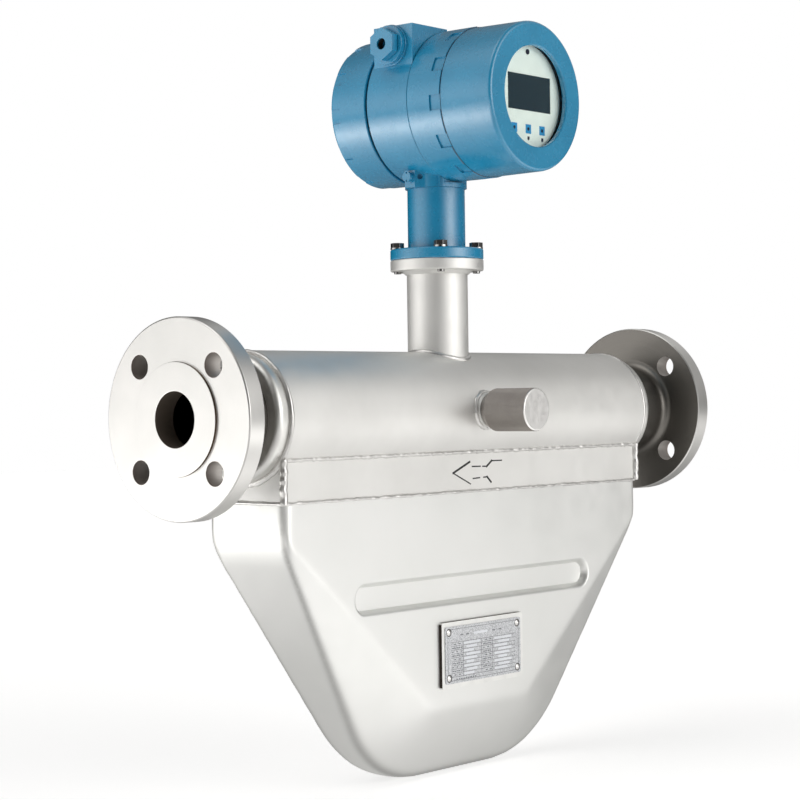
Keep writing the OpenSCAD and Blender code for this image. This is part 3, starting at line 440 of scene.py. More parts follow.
def flange_steel(name, face_x, inwards):
    """A turned flange: bright face and rim, with painted shade in its holes, its bore, behind it, on
    its rim's front edge and on the step of its raised face.
    """
    material = finish(name, Metallic=1.0, Roughness=0.36)
    grain = Grain(material)
    grain.tone(grain.noise(30, 3), (0.70, 0.695, 0.675), (0.75, 0.74, 0.72))
    grain.gloss(grain.turned(900), 0.32, 0.42)
    grain.bump(grain.turned(1600), 0.10, 0.0001)
    x, y, z = grain.place()
    depth = grain.sum("MULTIPLY", grain.sum("SUBTRACT", x, face_x), inwards)
    out = grain.radius(y, z)
    across = [grain.sum("SUBTRACT", grain.sum("ABSOLUTE", c), FLANGE["bolt"]) for c in (y, z)]
    hole = grain.between(grain.radius(*across), -FAR, FLANGE["hole_r"])
    drilled = grain.all_of(hole, grain.between(depth, -1 * MM, FLANGE["back"] - 0.1 * MM))
    # Painted shade in the bolt holes, darkest near the face.
    grain.stain(drilled, (0.20, 0.165, 0.145))
    deeper = grain.between(depth, 1 * MM, 60 * MM, 12 * MM)
    # The painted shade in the holes fades paler deeper in.
    grain.stain(grain.all_of(drilled, deeper), (0.60, 0.57, 0.54))
    # Painted shade on the back of the flange, outside the hub.
    behind = grain.between(depth, FLANGE["back"] - 0.15 * MM, FAR)
    grain.stain(grain.all_of(behind, grain.between(out, FLANGE["hub_r"], FAR)), (0.19, 0.18, 0.165))
    # Painted shade in the bore.
    bore = grain.clamp(grain.between(out, -FAR, FLANGE["bore_r"]))
    grain.stain(bore, (0.11, 0.088, 0.07))
    for mask, metal in ((drilled, 0.35), (bore, 0.1)):
        grain.value_over(mask, "Metallic", metal)
        grain.value_over(mask, "Roughness", 0.5)
    # Painted shade along the rim's front edge.
    rim = grain.between(out, FLANGE["rim_r"], FAR)
    front = grain.between(depth, FLANGE["raised"] - 0.1 * MM, FLANGE["raised"] + 0.6 * MM, 0.2 * MM)
    grain.stain(grain.all_of(rim, front), (0.35, 0.34, 0.32))
    # Painted shade on the side of the raised face's step.
    side = grain.between(out, FLANGE["face_r"] - 0.4 * MM, FLANGE["face_r"] + 0.5 * MM)
    step = grain.between(depth, 0.2 * MM, FLANGE["raised"] - 0.05 * MM)
    grain.stain(grain.all_of(side, step), (0.10, 0.065, 0.045))
    return material


def splitter_steel():
    """Satin steel outside, dull and brown where the liquid runs."""
    material = plain_metal("splitter_steel", (0.84, 0.835, 0.81), 0.42)
    grain = Grain(material)
    _, y, z = grain.place()
    inside = grain.clamp(grain.between(grain.radius(y, z), -FAR, 21.3 * MM))
    grain.stain(inside, (0.95, 0.82, 0.70))
    grain.value_over(inside, "Metallic", 0)
    return material


def plain_metal(name, tone, rough, mottle=0.08):
    """Metal of one tone, mottled down from it by a share."""
    material = finish(name, Metallic=1.0, Roughness=rough)
    grain = Grain(material)
    grain.tone(grain.noise(120, 3), [c * (1 - mottle) for c in tone], tone)
    grain.gloss(grain.noise(300, 2), rough - 0.04, rough + 0.05)
    return material


def blue_enamel():
    """Sprayed enamel over cast aluminium: fine orange peel, with the casting's waves under it."""
    material = finish("blue_enamel", Roughness=0.26, Specular_IOR_Level=0.9, Coat_Weight=0.4,
                      Coat_Roughness=0.2)
    grain = Grain(material)
    grain.tone(grain.noise(25, 3), (0.010, 0.23, 0.42), (0.016, 0.27, 0.48))
    grain.gloss(grain.noise(140, 3), 0.22, 0.30)
    grain.bump(grain.noise(60, 2), 0.12, 0.0006)
    x, y, z = grain.place()
    out = grain.radius(grain.sum("SUBTRACT", x, MID_X), grain.sum("SUBTRACT", z, HEAD_Z))
    skin = grain.between(out, 59.5 * MM, 63.2 * MM)
    for seam, half in ((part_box("front_cover")[1].y, 0.45 * MM), (RING_FRONT, 0.4 * MM)):
        line = grain.between(y, seam - half, seam + half, 0.2 * MM)
        grain.stain(grain.all_of(line, skin), (0.004, 0.03, 0.07))
    return material


def plate_holder_steel():
    """A pale folded holder, dark down its left side and along its top edge."""
    material = plain_metal("plate_holder_steel", (0.88, 0.88, 0.86), 0.5)
    grain = Grain(material)
    low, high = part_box("nameplate_holder")
    x, _, z = grain.place()
    grain.stain(grain.clamp(grain.between(x, -FAR, low.x + 0.45 * MM)), (0.05, 0.04, 0.035))
    grain.stain(grain.clamp(grain.between(z, high.z - 0.3 * MM, FAR)), (0.07, 0.06, 0.05))
    return material


def etched_plate():
    """Nameplate sheet, mottled by fine etching, with painted shade in a dark ring round each rivet.
    """
    material = plain_metal("etched_plate", (0.60, 0.61, 0.63), 0.42)
    grain = Grain(material)
    grain.tone(grain.noise(1500, 3), (0.34, 0.35, 0.37), (0.72, 0.73, 0.75), 0.36, 0.56)
    low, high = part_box("nameplate_rivets")
    centre, reach = (low + high) / 2, (high - low) / 2
    x, _, z = grain.place()
    rivet_r = 2.5 * MM
    across = [grain.sum("SUBTRACT", grain.sum("ABSOLUTE", grain.sum("SUBTRACT", c, m)), r - rivet_r)
              for c, m, r in ((x, centre.x, reach.x), (z, centre.z, reach.z))]
    ring = grain.between(grain.radius(*across), -FAR, rivet_r + 0.8 * MM, 0.15 * MM)
    # Painted shade round each rivet head.
    grain.stain(grain.clamp(ring), (0.05, 0.045, 0.04))
    return material


def cap_steel():
    """Dark knurled steel with a light turned face."""
    material = plain_metal("cap_steel", (0.40, 0.37, 0.35), 0.38)
    grain = Grain(material)
    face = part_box("port_cap")[0].y
    y = grain.place()[1]
    grain.stain(grain.clamp(grain.between(y, face - FAR, face + 0.9 * MM)), (0.92, 0.91, 0.89))
    return material


def dull_plastic(name, tone, rough=0.5, scale=700, shine=0.5):
    """Plastic, print or ink of one tone, with a fine relief at a scale."""
    material = finish(name, Roughness=rough, Specular_IOR_Level=shine)
    grain = Grain(material)
    grain.tone(grain.noise(80, 2), [c * 0.92 for c in tone], tone)
    grain.bump(grain.noise(scale, 2), 0.12, 0.0002)
    return material


def window_pane():
    """Clear toughened glass: all but open straight on, with more sheen at a low angle."""
    material = finish("window_pane", Base_Color=(0.93, 1.0, 0.99, 1), Metallic=1.0, Roughness=0.02)
    grain = Grain(material)
    sheen = grain.node("ShaderNodeFresnel")
    sheen.inputs["IOR"].default_value = 1.2
    grain.link(grain.sum("MULTIPLY", sheen.outputs[0], 0.35), grain.bsdf.inputs["Alpha"])
    return material


# ---- Making pieces ----

EASED_EDGE = 0.4 * MM
SHARP_ANGLE = 38


def new_piece(name, mesh, body, material=None, replaced=()):
    """A finished mesh in the CAD's frame becomes a piece that rides on a CAD body."""
    piece = bpy.data.objects.new(name, mesh)
    bpy.context.scene.collection.objects.link(piece)
    if material:
        mesh.materials.clear()
        mesh.materials.append(material)
    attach(piece, body)
    if replaced:
        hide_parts(*replaced)


def evaluated_mesh(piece, name):
    """The mesh that a piece's modifiers give, as plain data; the piece itself is removed."""
    graph = bpy.context.evaluated_depsgraph_get()
    mesh = bpy.data.meshes.new_from_object(piece.evaluated_get(graph), depsgraph=graph)
    mesh.name = name
    bpy.data.objects.remove(piece)
    return mesh


def body_of(node):
    return nodes[node]["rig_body"]


def slot_of(node):
    return next(s["material_slot"] for s in frame["record"]["subparts"] if s["node"] == node)


def draft_of(mesh):
    """A passing object that holds a mesh while modifiers work on it."""
    draft = bpy.data.objects.new("draft", mesh)
    bpy.context.scene.collection.objects.link(draft)
    return draft


def mesh_of(shape, name="draft"):
    """The mesh of an edited shape, which is then freed."""
    mesh = bpy.data.meshes.new(name)
    shape.to_mesh(mesh)
    shape.free()
    return mesh


def soften(node, material):
    """A CAD node's own form with its sharp edges eased, as castings and turned parts have."""
    mesh = nodes[node].data.copy()
    shape = bmesh.new()
    shape.from_mesh(mesh)
    bmesh.ops.remove_doubles(shape, verts=shape.verts, dist=2e-6)
    bmesh.ops.dissolve_limit(shape, angle_limit=math.radians(0.4), verts=shape.verts,
                             edges=shape.edges)
    bmesh.ops.recalc_face_normals(shape, faces=shape.faces)
    shape.to_mesh(mesh)
    shape.free()
    draft = draft_of(mesh)
    ease = draft.modifiers.new("ease", "BEVEL")
    ease.width = EASED_EDGE
    ease.segments = 2
    ease.limit_method = "ANGLE"
    ease.angle_limit = math.radians(SHARP_ANGLE)
    ease.use_clamp_overlap = True
    bpy.context.view_layer.update()
    eased = evaluated_mesh(draft, "eased")
    smooth_by_angle(eased, SHARP_ANGLE)
    draft = draft_of(eased)
    flat = draft.modifiers.new("flat", "WEIGHTED_NORMAL")
    flat.keep_sharp = True
    bpy.context.view_layer.update()
    final = evaluated_mesh(draft, node + "_shape")
    bpy.data.meshes.remove(mesh)
    new_piece(node + "_look", final, body_of(node), material, [node])


def smooth_by_angle(mesh, degrees):
    """Smooth shading, with sharp edges kept where faces meet at more than an angle."""
    shape = bmesh.new()
    shape.from_mesh(mesh)
    for face in shape.faces:
        face.smooth = True
    for edge in shape.edges:
        if len(edge.link_faces) == 2:
            edge.smooth = edge.calc_face_angle(0) < math.radians(degrees)
    shape.to_mesh(mesh)
    shape.free()


# ---- Sensor case ----

CASE_LOW, CASE_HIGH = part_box("case_front")
SHEET = 2.5 * MM
# The side wall seen from the front: where it turns in, how steeply (degrees), and its rounds.
WALL = {"knee": -98 * MM, "slope": 57.8, "knee_r": 63 * MM, "heel_r": 99.5 * MM}
# Its half width across: the most, and how it narrows below a height.
NARROWING = {"widest": 36.5 * MM, "from": 39 * MM, "at": -94.5 * MM, "taper": 0.131}
# Corners of half the flat face, out from the middle of the case and up from the pipe's axis.
FLAT_FACE = ((226 * MM, -95 * MM), (64 * MM, -237 * MM), (0, -237 * MM))
FACE_INSET = 5 * MM
# How far the case is drawn past its rim, before it is cut off there.
OVERRUN = 12 * MM
VOXEL = 2.4 * MM
SMOOTHINGS, SMOOTHINGS_ALL_OVER = 18, 3
GROOVE = {"half": 141 * MM, "radius": 9 * MM, "flare": 4.4 * MM, "depth": 6.4 * MM, "z": -142 * MM}


def rounded(corners, radii, steps=10):
    """Points along a line of corners, with an arc of the given radius at each inner corner."""
    line = [corners[0]]
    for before, corner, after, radius in zip(corners, corners[1:], corners[2:], radii):
        back, on = (before - corner).normalized(), (after - corner).normalized()
        half = back.angle(on) / 2
        centre = corner + (back + on).normalized() * radius / math.sin(half)
        start, end = (corner + way * radius / math.tan(half) - centre for way in (back, on))
        first = math.atan2(start.y, start.x)
        turn = math.remainder(math.atan2(end.y, end.x) - first, 2 * math.pi)
        angles = [first + turn * i / steps for i in range(steps + 1)]
        line += [centre + radius * Vector((math.cos(a), math.sin(a))) for a in angles]
    return line + [corners[-1]]


def wall_half(z):
    """Half the width of the case's side wall at a height; it narrows downwards."""
    below = NARROWING["at"] - z
    return min(NARROWING["from"] - NARROWING["taper"] * below, NARROWING["widest"])


def case_outline(steps=10):
    """Half the case's outline seen from the front, from the collar to the middle of the foot."""
    half, foot, raised = (CASE_HIGH.x - CASE_LOW.x) / 2, CASE_LOW.z, CASE_HIGH.z + OVERRUN
    heel = half - (WALL["knee"] - foot) / math.tan(math.radians(WALL["slope"]))
    corners = [Vector(c) for c in ((half, raised), (half, WALL["knee"]), (heel, foot), (0, foot))]
    return rounded(corners, (WALL["knee_r"], WALL["heel_r"]), steps)


def case_skin():
    """The case's outer skin with the soft edges of a pressing, drawn on past the collar, where it is
    cut later.
    """
    outline = case_outline()
    half, raised = outline[0]
    wall = [(x, wall_half(z), z) for x, z in outline]
    face = [(x, -CASE_LOW.y, z) for x, z in ((half - FACE_INSET, raised), *FLAT_FACE)]
    shape = bmesh.new()
    for x, reach, z in wall + face:
        for y in (-reach, reach):
            shape.verts.new((MID_X - x, y, z))
            shape.verts.new((MID_X + x, y, z))
    bmesh.ops.remove_doubles(shape, verts=shape.verts, dist=1e-6)
    bmesh.ops.convex_hull(shape, input=shape.verts)
    bmesh.ops.delete(shape, geom=[v for v in shape.verts if not v.link_faces], context="VERTS")
    mesh = mesh_of(shape)
    draft = draft_of(mesh)
    even = draft.modifiers.new("even", "REMESH")
    even.mode = "VOXEL"
    even.voxel_size = VOXEL
    bpy.context.view_layer.update()
    skin = evaluated_mesh(draft, "case_skin")
    bpy.data.meshes.remove(mesh)
    shape = bmesh.new()
    shape.from_mesh(skin)
    for turn in range(SMOOTHINGS):
        top = (-75 - 10 * turn) * MM  # each later turn starts lower, so the foot gets softest
        soft = [v for v in shape.verts if turn < SMOOTHINGS_ALL_OVER or v.co.z < top]
        bmesh.ops.smooth_vert(shape, verts=soft, factor=0.5, use_axis_x=True, use_axis_y=True,
                              use_axis_z=True)
    shape.to_mesh(skin)
    shape.free()
    return skin


def press_groove(shape, side):
    """Presses the stiffening groove into the face that looks along side * Y."""
    def gap(co):
        """The distance from the groove's floor, seen from the front."""
        along = max(abs(co.x - MID_X) - GROOVE["half"], 0)
        return math.hypot(along, co.z - GROOVE["z"]) - GROOVE["radius"]

    face_y = max(v.co.y * side for v in shape.verts) - 0.5 * MM
    limit = GROOVE["flare"] + 3 * MM
    for _ in range(3):
        near = [e for e in shape.edges
                if all(v.co.y * side > face_y and -4 * MM < gap(v.co) < limit for v in e.verts)]
        bmesh.ops.subdivide_edges(shape, edges=near, cuts=1, use_grid_fill=True)
    for vert in [v for v in shape.verts if v.co.y * side > face_y]:
        t = min(max(gap(vert.co) / GROOVE["flare"], 0), 1)
        vert.co.y -= side * GROOVE["depth"] * (1 - t) ** 2


# Painted shade along the bend beside the side wall: how dark, how wide, and how much wider from its
# top to its foot.
PAINTED_BEND_SHADE = {
    "depth": 0.8,
    "width": 2.2 * MM,
    "growth": 2.6 * MM,
    "top": -100 * MM,
    "foot": -250 * MM,
}


def shade_bends(shell):
    """Paints shade into the colour along the bend beside the narrow side wall, as a soft dark line.
    """
    outline = case_outline(24)
    edge = []
    for start, end in zip(outline, outline[1:]):
        count = max(1, round((end - start).length / MM))
        edge += [start.lerp(end, i / count) for i in range(count)]
    tree = KDTree(len(edge))
    for i, (x, z) in enumerate(edge):
        tree.insert((x, wall_half(z), z), i)
    tree.balance()
    marks = []
    for vert in shell.vertices:
        x, y, z = vert.co
        gap = tree.find((abs(x - MID_X), abs(y), z))[2]
        down = min(max((z - PAINTED_BEND_SHADE["top"]) / (PAINTED_BEND_SHADE["foot"] - PAINTED_BEND_SHADE["top"]), 0), 1)
        spread = PAINTED_BEND_SHADE["width"] + PAINTED_BEND_SHADE["growth"] * down
        marks.append(PAINTED_BEND_SHADE["depth"] * math.exp(-(gap / spread) ** 2))
    shade = shell.attributes.new("bend_shade", "FLOAT", "POINT")
    shade.data.foreach_set("value", marks)


def sensor_case():
    """Both half shells: the skin, cut at the rim and in the middle, pressed and given a wall."""
    skin = case_skin()
    for side, node in ((-1, "case_front"), (1, "case_rear")):
        shape = bmesh.new()
        shape.from_mesh(skin)
        for place, outwards in (((0, 0, CASE_HIGH.z), (0, 0, 1)), ((0, 0, 0), (0, -side, 0))):
            everything = shape.verts[:] + shape.edges[:] + shape.faces[:]
            bmesh.ops.bisect_plane(shape, geom=everything, plane_co=place, plane_no=outwards,
                                   clear_outer=True)
        press_groove(shape, side)
        mesh = mesh_of(shape)
        draft = draft_of(mesh)
        wall = draft.modifiers.new("wall", "SOLIDIFY")
        wall.thickness = SHEET
        wall.offset = -1
        bpy.context.view_layer.update()
        shell = evaluated_mesh(draft, node + "_shape")
        bpy.data.meshes.remove(mesh)
        smooth_by_angle(shell, 50)
        shade_bends(shell)
        new_piece(node + "_look", shell, "meter", FINISHES["blasted_steel"], [node])
    bpy.data.meshes.remove(skin)


# ---- Weld beads ----

def bead_tree():
    """A bead of weld that follows the edges of a path: a rod with ripples and lumps."""
    tree = bpy.data.node_groups.new("weld_bead", "GeometryNodeTree")
    socket = tree.interface.new_socket
    socket("Path", in_out="INPUT", socket_type="NodeSocketGeometry")
    for name in ("Radius", "Lumps", "Lump Scale", "Step", "Seed"):
        socket(name, in_out="INPUT", socket_type="NodeSocketFloat")
    socket("Finish", in_out="INPUT", socket_type="NodeSocketMaterial")
    socket("Bead", in_out="OUTPUT", socket_type="NodeSocketGeometry")
    add, link = tree.nodes.new, tree.links.new
    given, made = add("NodeGroupInput"), add("NodeGroupOutput")
    line = add("GeometryNodeMeshToCurve")
    link(given.outputs["Path"], line.inputs["Mesh"])
    even = add("GeometryNodeResampleCurve")
    even.mode = "LENGTH"
    link(line.outputs[0], even.inputs["Curve"])
    link(given.outputs["Step"], even.inputs["Length"])
    section = add("GeometryNodeCurvePrimitiveCircle")
    section.inputs["Resolution"].default_value = 8
    link(given.outputs["Radius"], section.inputs["Radius"])
    rod = add("GeometryNodeCurveToMesh")
    rod.inputs["Fill Caps"].default_value = True
    link(even.outputs[0], rod.inputs["Curve"])
    link(section.outputs[0], rod.inputs["Profile Curve"])
    lumps = add("ShaderNodeTexNoise")
    lumps.noise_dimensions = "4D"
    lumps.inputs["Detail"].default_value = 2
    link(given.outputs["Seed"], lumps.inputs["W"])
    link(given.outputs["Lump Scale"], lumps.inputs["Scale"])
    centred = add("ShaderNodeMath")
    centred.operation = "SUBTRACT"
    centred.inputs[1].default_value = 0.45
    link(lumps.outputs[0], centred.inputs[0])
    height = add("ShaderNodeMath")
    height.operation = "MULTIPLY"
    link(centred.outputs[0], height.inputs[0])
    link(given.outputs["Lumps"], height.inputs[1])
    normal = add("GeometryNodeInputNormal")
    push = add("ShaderNodeVectorMath")
    push.operation = "SCALE"
    link(normal.outputs[0], push.inputs[0])
    link(height.outputs[0], push.inputs["Scale"])
    shift = add("GeometryNodeSetPosition")
    link(rod.outputs[0], shift.inputs["Geometry"])
    link(push.outputs[0], shift.inputs["Offset"])
    round_off = add("GeometryNodeSetShadeSmooth")
    link(shift.outputs[0], round_off.inputs["Geometry"])
    whole = add("GeometryNodeRealizeInstances")
    link(round_off.outputs[0], whole.inputs["Geometry"])
    paint = add("GeometryNodeSetMaterial")
    link(whole.outputs[0], paint.inputs["Geometry"])
    link(given.outputs["Finish"], paint.inputs["Material"])
    link(paint.outputs[0], made.inputs["Bead"])
    return tree


def grown(name, mesh, tree, body, slot, **inputs):
    """Runs a geometry tree on a mesh and keeps what it grows as a plain piece."""
    draft = draft_of(mesh)
    modifier = draft.modifiers.new("grow", "NODES")
    modifier.node_group = tree
    for item in tree.interface.items_tree:
        given = item.name.replace(" ", "_")
        if item.item_type == "SOCKET" and item.in_out == "INPUT" and given in inputs:
            modifier[item.identifier] = inputs[given]
    bpy.context.view_layer.update()
    new_piece(name, evaluated_mesh(draft, name + "_shape"), body)


def paths(*lines):
    """A mesh of open or closed lines; each is (points, closed)."""
    mesh = bpy.data.meshes.new("paths")
    points, edges = [], []
    for line, closed in lines:
        first = len(points)
        points += line
        edges += [(first + i, first + i + 1) for i in range(len(line) - 1)]
        if closed:
            edges.append((len(points) - 1, first))
    mesh.from_pydata(points, edges, [])
    return mesh


def around(radius, steps, turn=(0, 360)):
    """Steps round a circle, from one angle up to another, as pairs of places across its axis."""
    start, end = (math.radians(t) for t in turn)
    angles = [start + (end - start) * i / steps for i in range(steps)]
    return [(radius * math.cos(a), radius * math.sin(a)) for a in angles]


def ring_x(x, radius, steps=72, turn=(0, 360)):
    """Points on a circle round the pipe's axis."""
    return [(x, y, z) for y, z in around(radius, steps, turn)]


def manifold_at(across):
    """How far the manifold's surface lies from its middle plane, at a distance across."""
    return math.sqrt(MANIFOLD_R ** 2 - across ** 2)


def collar_rim(low, high):
    """The collar's rounded lower edge, where the case is welded on."""
    corner_r, outside = 3 * MM, 0.3 * MM
    left, right = low.x + corner_r, high.x - corner_r
    front, back = low.y + corner_r, high.y - corner_r
    corners = ((right, back, 0), (left, back, 90), (left, front, 180), (right, front, 270))
    rim = []
    for x, y, start in corners:
        for step in range(5):
            a = math.radians(start + 22.5 * step)
            reach = corner_r + outside
            rim.append((x + reach * math.cos(a), y + reach * math.sin(a), low.z))
    return rim


def weld_beads():
    """Beads on the collar, the case's rim, the manifold's ends, the neck and the port."""
    low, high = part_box("collar")
    seat = -manifold_at(low.y)
    tops = [([(x, y, seat) for x in (low.x, high.x)], False) for y in (low.y, high.y)]
    corners = [([(x, y, low.z), (x, y, seat)], False)
               for x in (low.x, high.x) for y in (low.y, high.y)]
    half = math.degrees(math.asin(-low.y / MANIFOLD_R))
    under = (270 - half, 270 + half)
    ends = [(ring_x(x, MANIFOLD_R - 0.3 * MM, turn=under), False) for x in (low.x, high.x)]
    rings = [(ring_x(x, MANIFOLD_R - 1.2 * MM), True) for x in (MANIFOLD_LOW.x, MANIFOLD_HIGH.x)]
    neck_low, neck_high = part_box("neck_pipe")
    neck = around((neck_high.x - neck_low.x) / 2, 72)
    neck_foot = [(MID_X + x, y, manifold_at(y)) for x, y in neck]
    stub_low, stub_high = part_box("port_stub")
    stub_z = (stub_high.z + stub_low.z) / 2
    stub = around((stub_high.z - stub_low.z) / 2 + 0.4 * MM, 48)
    port_foot = [(MID_X + x, -manifold_at(stub_z + z), stub_z + z) for x, z in stub]
    # Each bead: its lines, its radius and the height of its lumps in mm, their scale, and a seed.
    beads = {
        "collar_top_welds": (tops + ends, 1.7, 2.4, 170.0, 2.0),
        "collar_corner_welds": (corners, 3.0, 3.4, 170.0, 5.0),
        "case_rim_weld": ([(collar_rim(low, high), True)], 1.3, 2.4, 120.0, 9.0),
        "manifold_end_welds": (rings, 1.9, 1.1, 160.0, 4.0),
        "neck_foot_weld": ([(neck_foot, True)], 2.2, 0.9, 150.0, 7.0),
        "port_foot_weld": ([(port_foot, True)], 2.0, 2.2, 260.0, 3.0),
    }
    tree = bead_tree()
    for name, (lines, radius, lumps, scale, seed) in beads.items():
        grown(name, paths(*lines), tree, "meter", "satin_steel", Radius=radius * MM,
              Lumps=lumps * MM, Lump_Scale=scale, Step=1.1 * MM, Seed=seed, Finish=FINISHES["weld"])


# ---- Small work on the outside ----

def strips(name, lines, width, depth, material):
    """Flat raised or cut lines: each is (start, end) on a face that looks along -Y."""
    shape = bmesh.new()
    for start, end in lines:
        start, end = Vector(start), Vector(end)
        along = (end - start).normalized()
        across = along.cross(Vector((0, 1, 0))) * width / 2
        start, end = start - along * width / 2, end + along * width / 2
        ring = [start - across, end - across, end + across, start + across]
        low = [shape.verts.new(p) for p in ring]
        high = [shape.verts.new(p + Vector((0, -depth, 0))) for p in ring]
        shape.faces.new(low)
        shape.faces.new(reversed(high))
        for i in range(4):
            shape.faces.new((low[i], low[i - 1], high[i - 1], high[i]))
    bmesh.ops.recalc_face_normals(shape, faces=shape.faces)
    new_piece(name, mesh_of(shape, name + "_shape"), "meter", material)


def flow_arrow():
    """The outline of an arrow that shows the direction of flow, cut into the collar, drawn as flat
    dark strips of painted shade.
    """
    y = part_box("collar")[0].y + 0.03 * MM
    # Each cut from one end to the other: x and z from the middle of the pipe's axis, in mm.
    deep = (
        ((-10, -39.9), (-31.6, -48.4)), ((12.5, -44.3), (19.1, -39.9)), ((12.8, -53), (17.9, -57.4)),
    )
    shallow = (
        ((-31.6, -48.4), (-9.2, -58)), ((-6.8, -43.8), (4, -44)), ((7, -44.1), (12.5, -44.3)),
        ((19.1, -39.9), (32.6, -40)), ((-5.8, -53.7), (3, -53.4)), ((8, -53.2), (12.8, -53)),
    )
    for name, cuts, width in (("arrow_deep_cuts", deep, 1.8), ("arrow_cuts", shallow, 1.1)):
        lines = [[(MID_X + x * MM, y, z * MM) for x, z in cut] for cut in cuts]
        # Dark strips of painted shade stand in for the cuts.
        strips(name, lines, width * MM, 0.08 * MM, FINISHES["cut_line"])


def key_dots():
    """Two dark sensor windows on the display panel, under the second and third key."""
    y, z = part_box("display_panel")[0].y + 0.02 * MM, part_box("key_fields")[0].z - 3.4 * MM
    pitch, half = 18.4 * MM, 0.3 * MM
    dots = [((x - half, y, z), (x + half, y, z)) for x in (MID_X, MID_X + pitch)]
    strips("key_dots", dots, 2.1 * MM, 0.12 * MM, FINISHES["key_dark"])


def plate_fields():
    """Bare fields, rules and a frame on the nameplate."""
    centre = middle("nameplate")
    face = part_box("nameplate")[0].y + 0.02 * MM

    def at(x, z):
        """A point on the plate's face, from millimetres off its centre."""
        return (centre.x + x * MM, face, centre.z + z * MM)

    row_pitch = 3.1
    fields, dashes = [], []
    for row in range(9):
        z = 8.5 - row_pitch * row
        fields += [(at(-25 + 3 * (row % 2), z), at(-6 - 4 * (row % 3), z)),
                   (at(15 + 5 * (row % 2), z), at(36 - 3 * (row % 3), z))]
        for start, count in ((-41, 5), (-0.5, 4)):
            for i in range(count):
                if (row + 2 * i) % 4:
                    x = start + 2.8 * i
                    dashes.append((at(x, z), at(x + 1.1 + 0.6 * ((row + i) % 2), z)))
    fields.append((at(-12, 15.5), at(4, 15.5)))
    dashes += [(at(x, 15.5), at(x + 3, 15.5)) for x in (-30, -23, 12, 20)]
    dashes += [(at(-36 + 3 * i, -20), at(-34.6 + 3 * i, -20)) for i in range(9)]
    strips("plate_fields", fields, 1.9 * MM, 0.09 * MM, FINISHES["bare_field"])
    strips("plate_dashes", dashes, 0.7 * MM, 0.07 * MM, FINISHES["plate_ink"])
    rules = [(at(-42, z), at(42, z)) for z in (10.1 - row_pitch * row for row in range(10))]
    rules += [(at(x, 10), at(x, -17.8)) for x in (-27, -3, 11.5)]
    border = [at(46.5 * x, 20.8 * z) for x, z in ((-1, 1), (1, 1), (1, -1), (-1, -1))]
    rules += list(zip(border, border[1:] + border[:1]))
    strips("plate_rules", rules, 0.3 * MM, 0.06 * MM, FINISHES["plate_ink"])


def knurl_tree():
    """Straight ribs side by side round a cap whose axis runs along Y."""
    tree = bpy.data.node_groups.new("straight_knurl", "GeometryNodeTree")
    socket = tree.interface.new_socket
    socket("Axis", in_out="INPUT", socket_type="NodeSocketGeometry")
    socket("Ribs", in_out="INPUT", socket_type="NodeSocketInt")
    for name in ("Radius", "Length", "Rib Width"):
        socket(name, in_out="INPUT", socket_type="NodeSocketFloat")
    socket("Finish", in_out="INPUT", socket_type="NodeSocketMaterial")
    socket("Knurl", in_out="OUTPUT", socket_type="NodeSocketGeometry")
    add, link = tree.nodes.new, tree.links.new
    given, made = add("NodeGroupInput"), add("NodeGroupOutput")
    ring = add("GeometryNodeMeshCircle")
    link(given.outputs["Ribs"], ring.inputs["Vertices"])
    link(given.outputs["Radius"], ring.inputs["Radius"])
    rib = add("GeometryNodeMeshCylinder")
    rib.inputs["Vertices"].default_value = 6
    link(given.outputs["Rib Width"], rib.inputs["Radius"])
    link(given.outputs["Length"], rib.inputs["Depth"])
    spread = add("GeometryNodeInstanceOnPoints")
    link(ring.outputs[0], spread.inputs["Points"])
    link(rib.outputs[0], spread.inputs["Instance"])
    lay = add("GeometryNodeTransform")
    lay.inputs["Rotation"].default_value = (math.pi / 2, 0, 0)
    link(spread.outputs[0], lay.inputs["Geometry"])
    place = add("GeometryNodeInstanceOnPoints")
    link(given.outputs["Axis"], place.inputs["Points"])
    link(lay.outputs[0], place.inputs["Instance"])
    whole = add("GeometryNodeRealizeInstances")
    link(place.outputs[0], whole.inputs["Geometry"])
    paint = add("GeometryNodeSetMaterial")
    link(whole.outputs[0], paint.inputs["Geometry"])
    link(given.outputs["Finish"], paint.inputs["Material"])
    link(paint.outputs[0], made.inputs["Knurl"])
    return tree


def cap_knurl():
    """The knurl of the port cap, between its rim and its chamfered foot."""
    low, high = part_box("port_cap")
    rim, foot = 1.2 * MM, 6.5 * MM
    start, end = low.y + rim, high.y - foot
    centre = bpy.data.meshes.new("cap_axis")
    centre.from_pydata([(MID_X, (start + end) / 2, (low.z + high.z) / 2)], [], [])
    grown("cap_knurl", centre, knurl_tree(), "port_cap", "dark_steel", Ribs=110,
          Radius=(high.z - low.z) / 2 - 0.25 * MM, Length=end - start, Rib_Width=0.55 * MM,
          Finish=FINISHES["knurled_steel"])


# ---- Building the scene ----

bpy.context.scene.view_settings.view_transform = "Standard"
place_camera()
studio_world()
pale_floor()
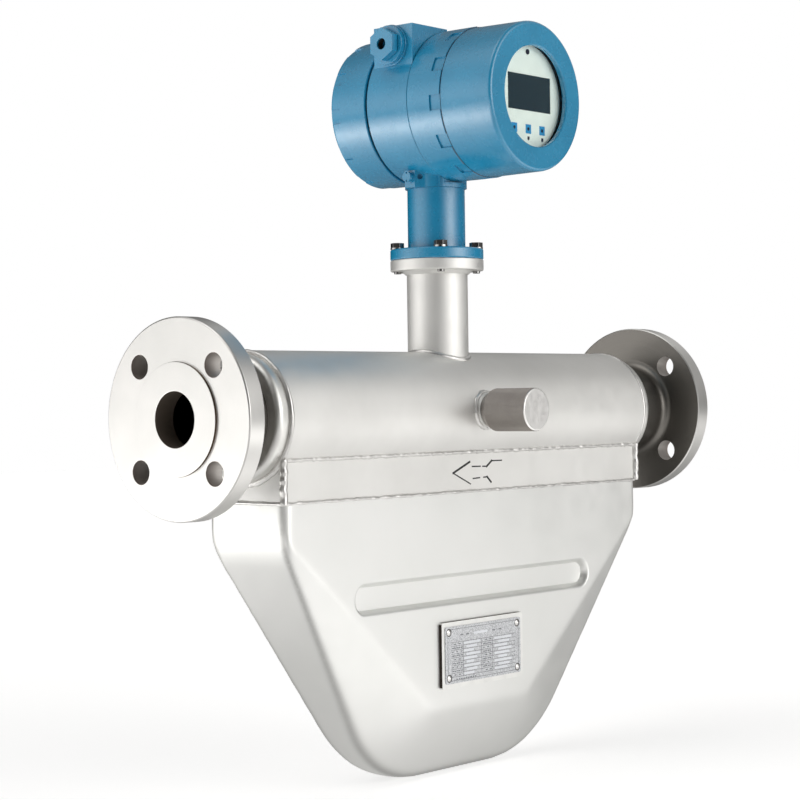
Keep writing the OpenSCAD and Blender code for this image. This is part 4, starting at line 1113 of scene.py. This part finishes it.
# Finishes by material slot, and a few for what is added here.
FINISHES = {
    "machined_steel": flange_steel("outlet_flange_steel", 0, 1),
    "satin_steel": satin_tube(),
    "blasted_steel": blasted_steel(),
    "tube_steel": plain_metal("drawn_tube", (0.62, 0.62, 0.62), 0.3),
    "copper_winding": plain_metal("enamelled_copper", (0.72, 0.36, 0.16), 0.35),
    "plate_metal": plain_metal("plate_metal", (0.58, 0.59, 0.61), 0.42),
    "bright_steel": plain_metal("bright_steel", (0.50, 0.49, 0.48), 0.1),
    "dark_steel": plain_metal("dark_steel", (0.26, 0.235, 0.22), 0.38),
    "knurled_steel": plain_metal("knurled_steel", (0.36, 0.335, 0.315), 0.34),
    "weld": plain_metal("weld_metal", (0.80, 0.79, 0.77), 0.38, 0.2),
    "bare_field": dull_plastic("bare_field", (0.78, 0.80, 0.84), 0.4),
    "plate_ink": dull_plastic("plate_ink", (0.10, 0.105, 0.12), 0.5),
    # Painted shade for the arrow's cuts.
    "cut_line": dull_plastic("cut_line", (0.02, 0.02, 0.02), 0.5),
    "black_rubber": dull_plastic("black_rubber", (0.02, 0.02, 0.02), 0.6),
    "brass_contacts": plain_metal("brass", (0.75, 0.55, 0.24), 0.3),
    "blue_paint": blue_enamel(),
    "window_glass": window_pane(),
    "panel_face": dull_plastic("panel_film", (0.88, 1.0, 0.93), 0.6),
    "lcd_glass": dull_plastic("lcd_glass", (0.012, 0.032, 0.046), 0.3, 200, 0.1),
    "key_blue": dull_plastic("key_blue", (0.02, 0.30, 0.62), 0.3, 700, 0.2),
    "key_dark": dull_plastic("key_dark", (0.006, 0.01, 0.03), 0.3, 700, 0.1),
    "circuit_board": dull_plastic("circuit_board", (0.02, 0.16, 0.06), 0.4),
    "board_plastic": dull_plastic("board_plastic", (0.03, 0.03, 0.035), 0.45),
}

SPLITTER_STEEL = splitter_steel()
# Nodes whose finish isn't their material slot's.
OTHER_FINISH = {
    "inlet_flange": flange_steel("inlet_flange_steel", PIPE_END, -1),
    "port_cap": cap_steel(),
    "nameplate_holder": plate_holder_steel(),
    "nameplate": etched_plate(),
    "nameplate_rivets": plain_metal("rivet_steel", (0.80, 0.79, 0.77), 0.3),
    "panel_screw": FINISHES["key_dark"],
    "neck_bolts": plain_metal("bolt_steel", (0.30, 0.295, 0.29), 0.12),
    "outlet_splitter": SPLITTER_STEEL,
    "inlet_splitter": SPLITTER_STEEL,
}

for node, part in nodes.items():
    part.data.materials.clear()
    part.data.materials.append(OTHER_FINISH.get(node, FINISHES[slot_of(node)]))

EASED = (
    "outlet_flange", "inlet_flange", "port_cap", "neck_flange", "neck_adapter", "transmitter_body",
    "front_cover", "rear_cover", "gland_body", "gland_nut", "gland_washer", "outlet_splitter",
    "inlet_splitter", "neck_bolts",
)
for node in EASED:
    soften(node, nodes[node].data.materials[0])
sensor_case()
weld_beads()
flow_arrow()
plate_fields()
key_dots()
cap_knurl()
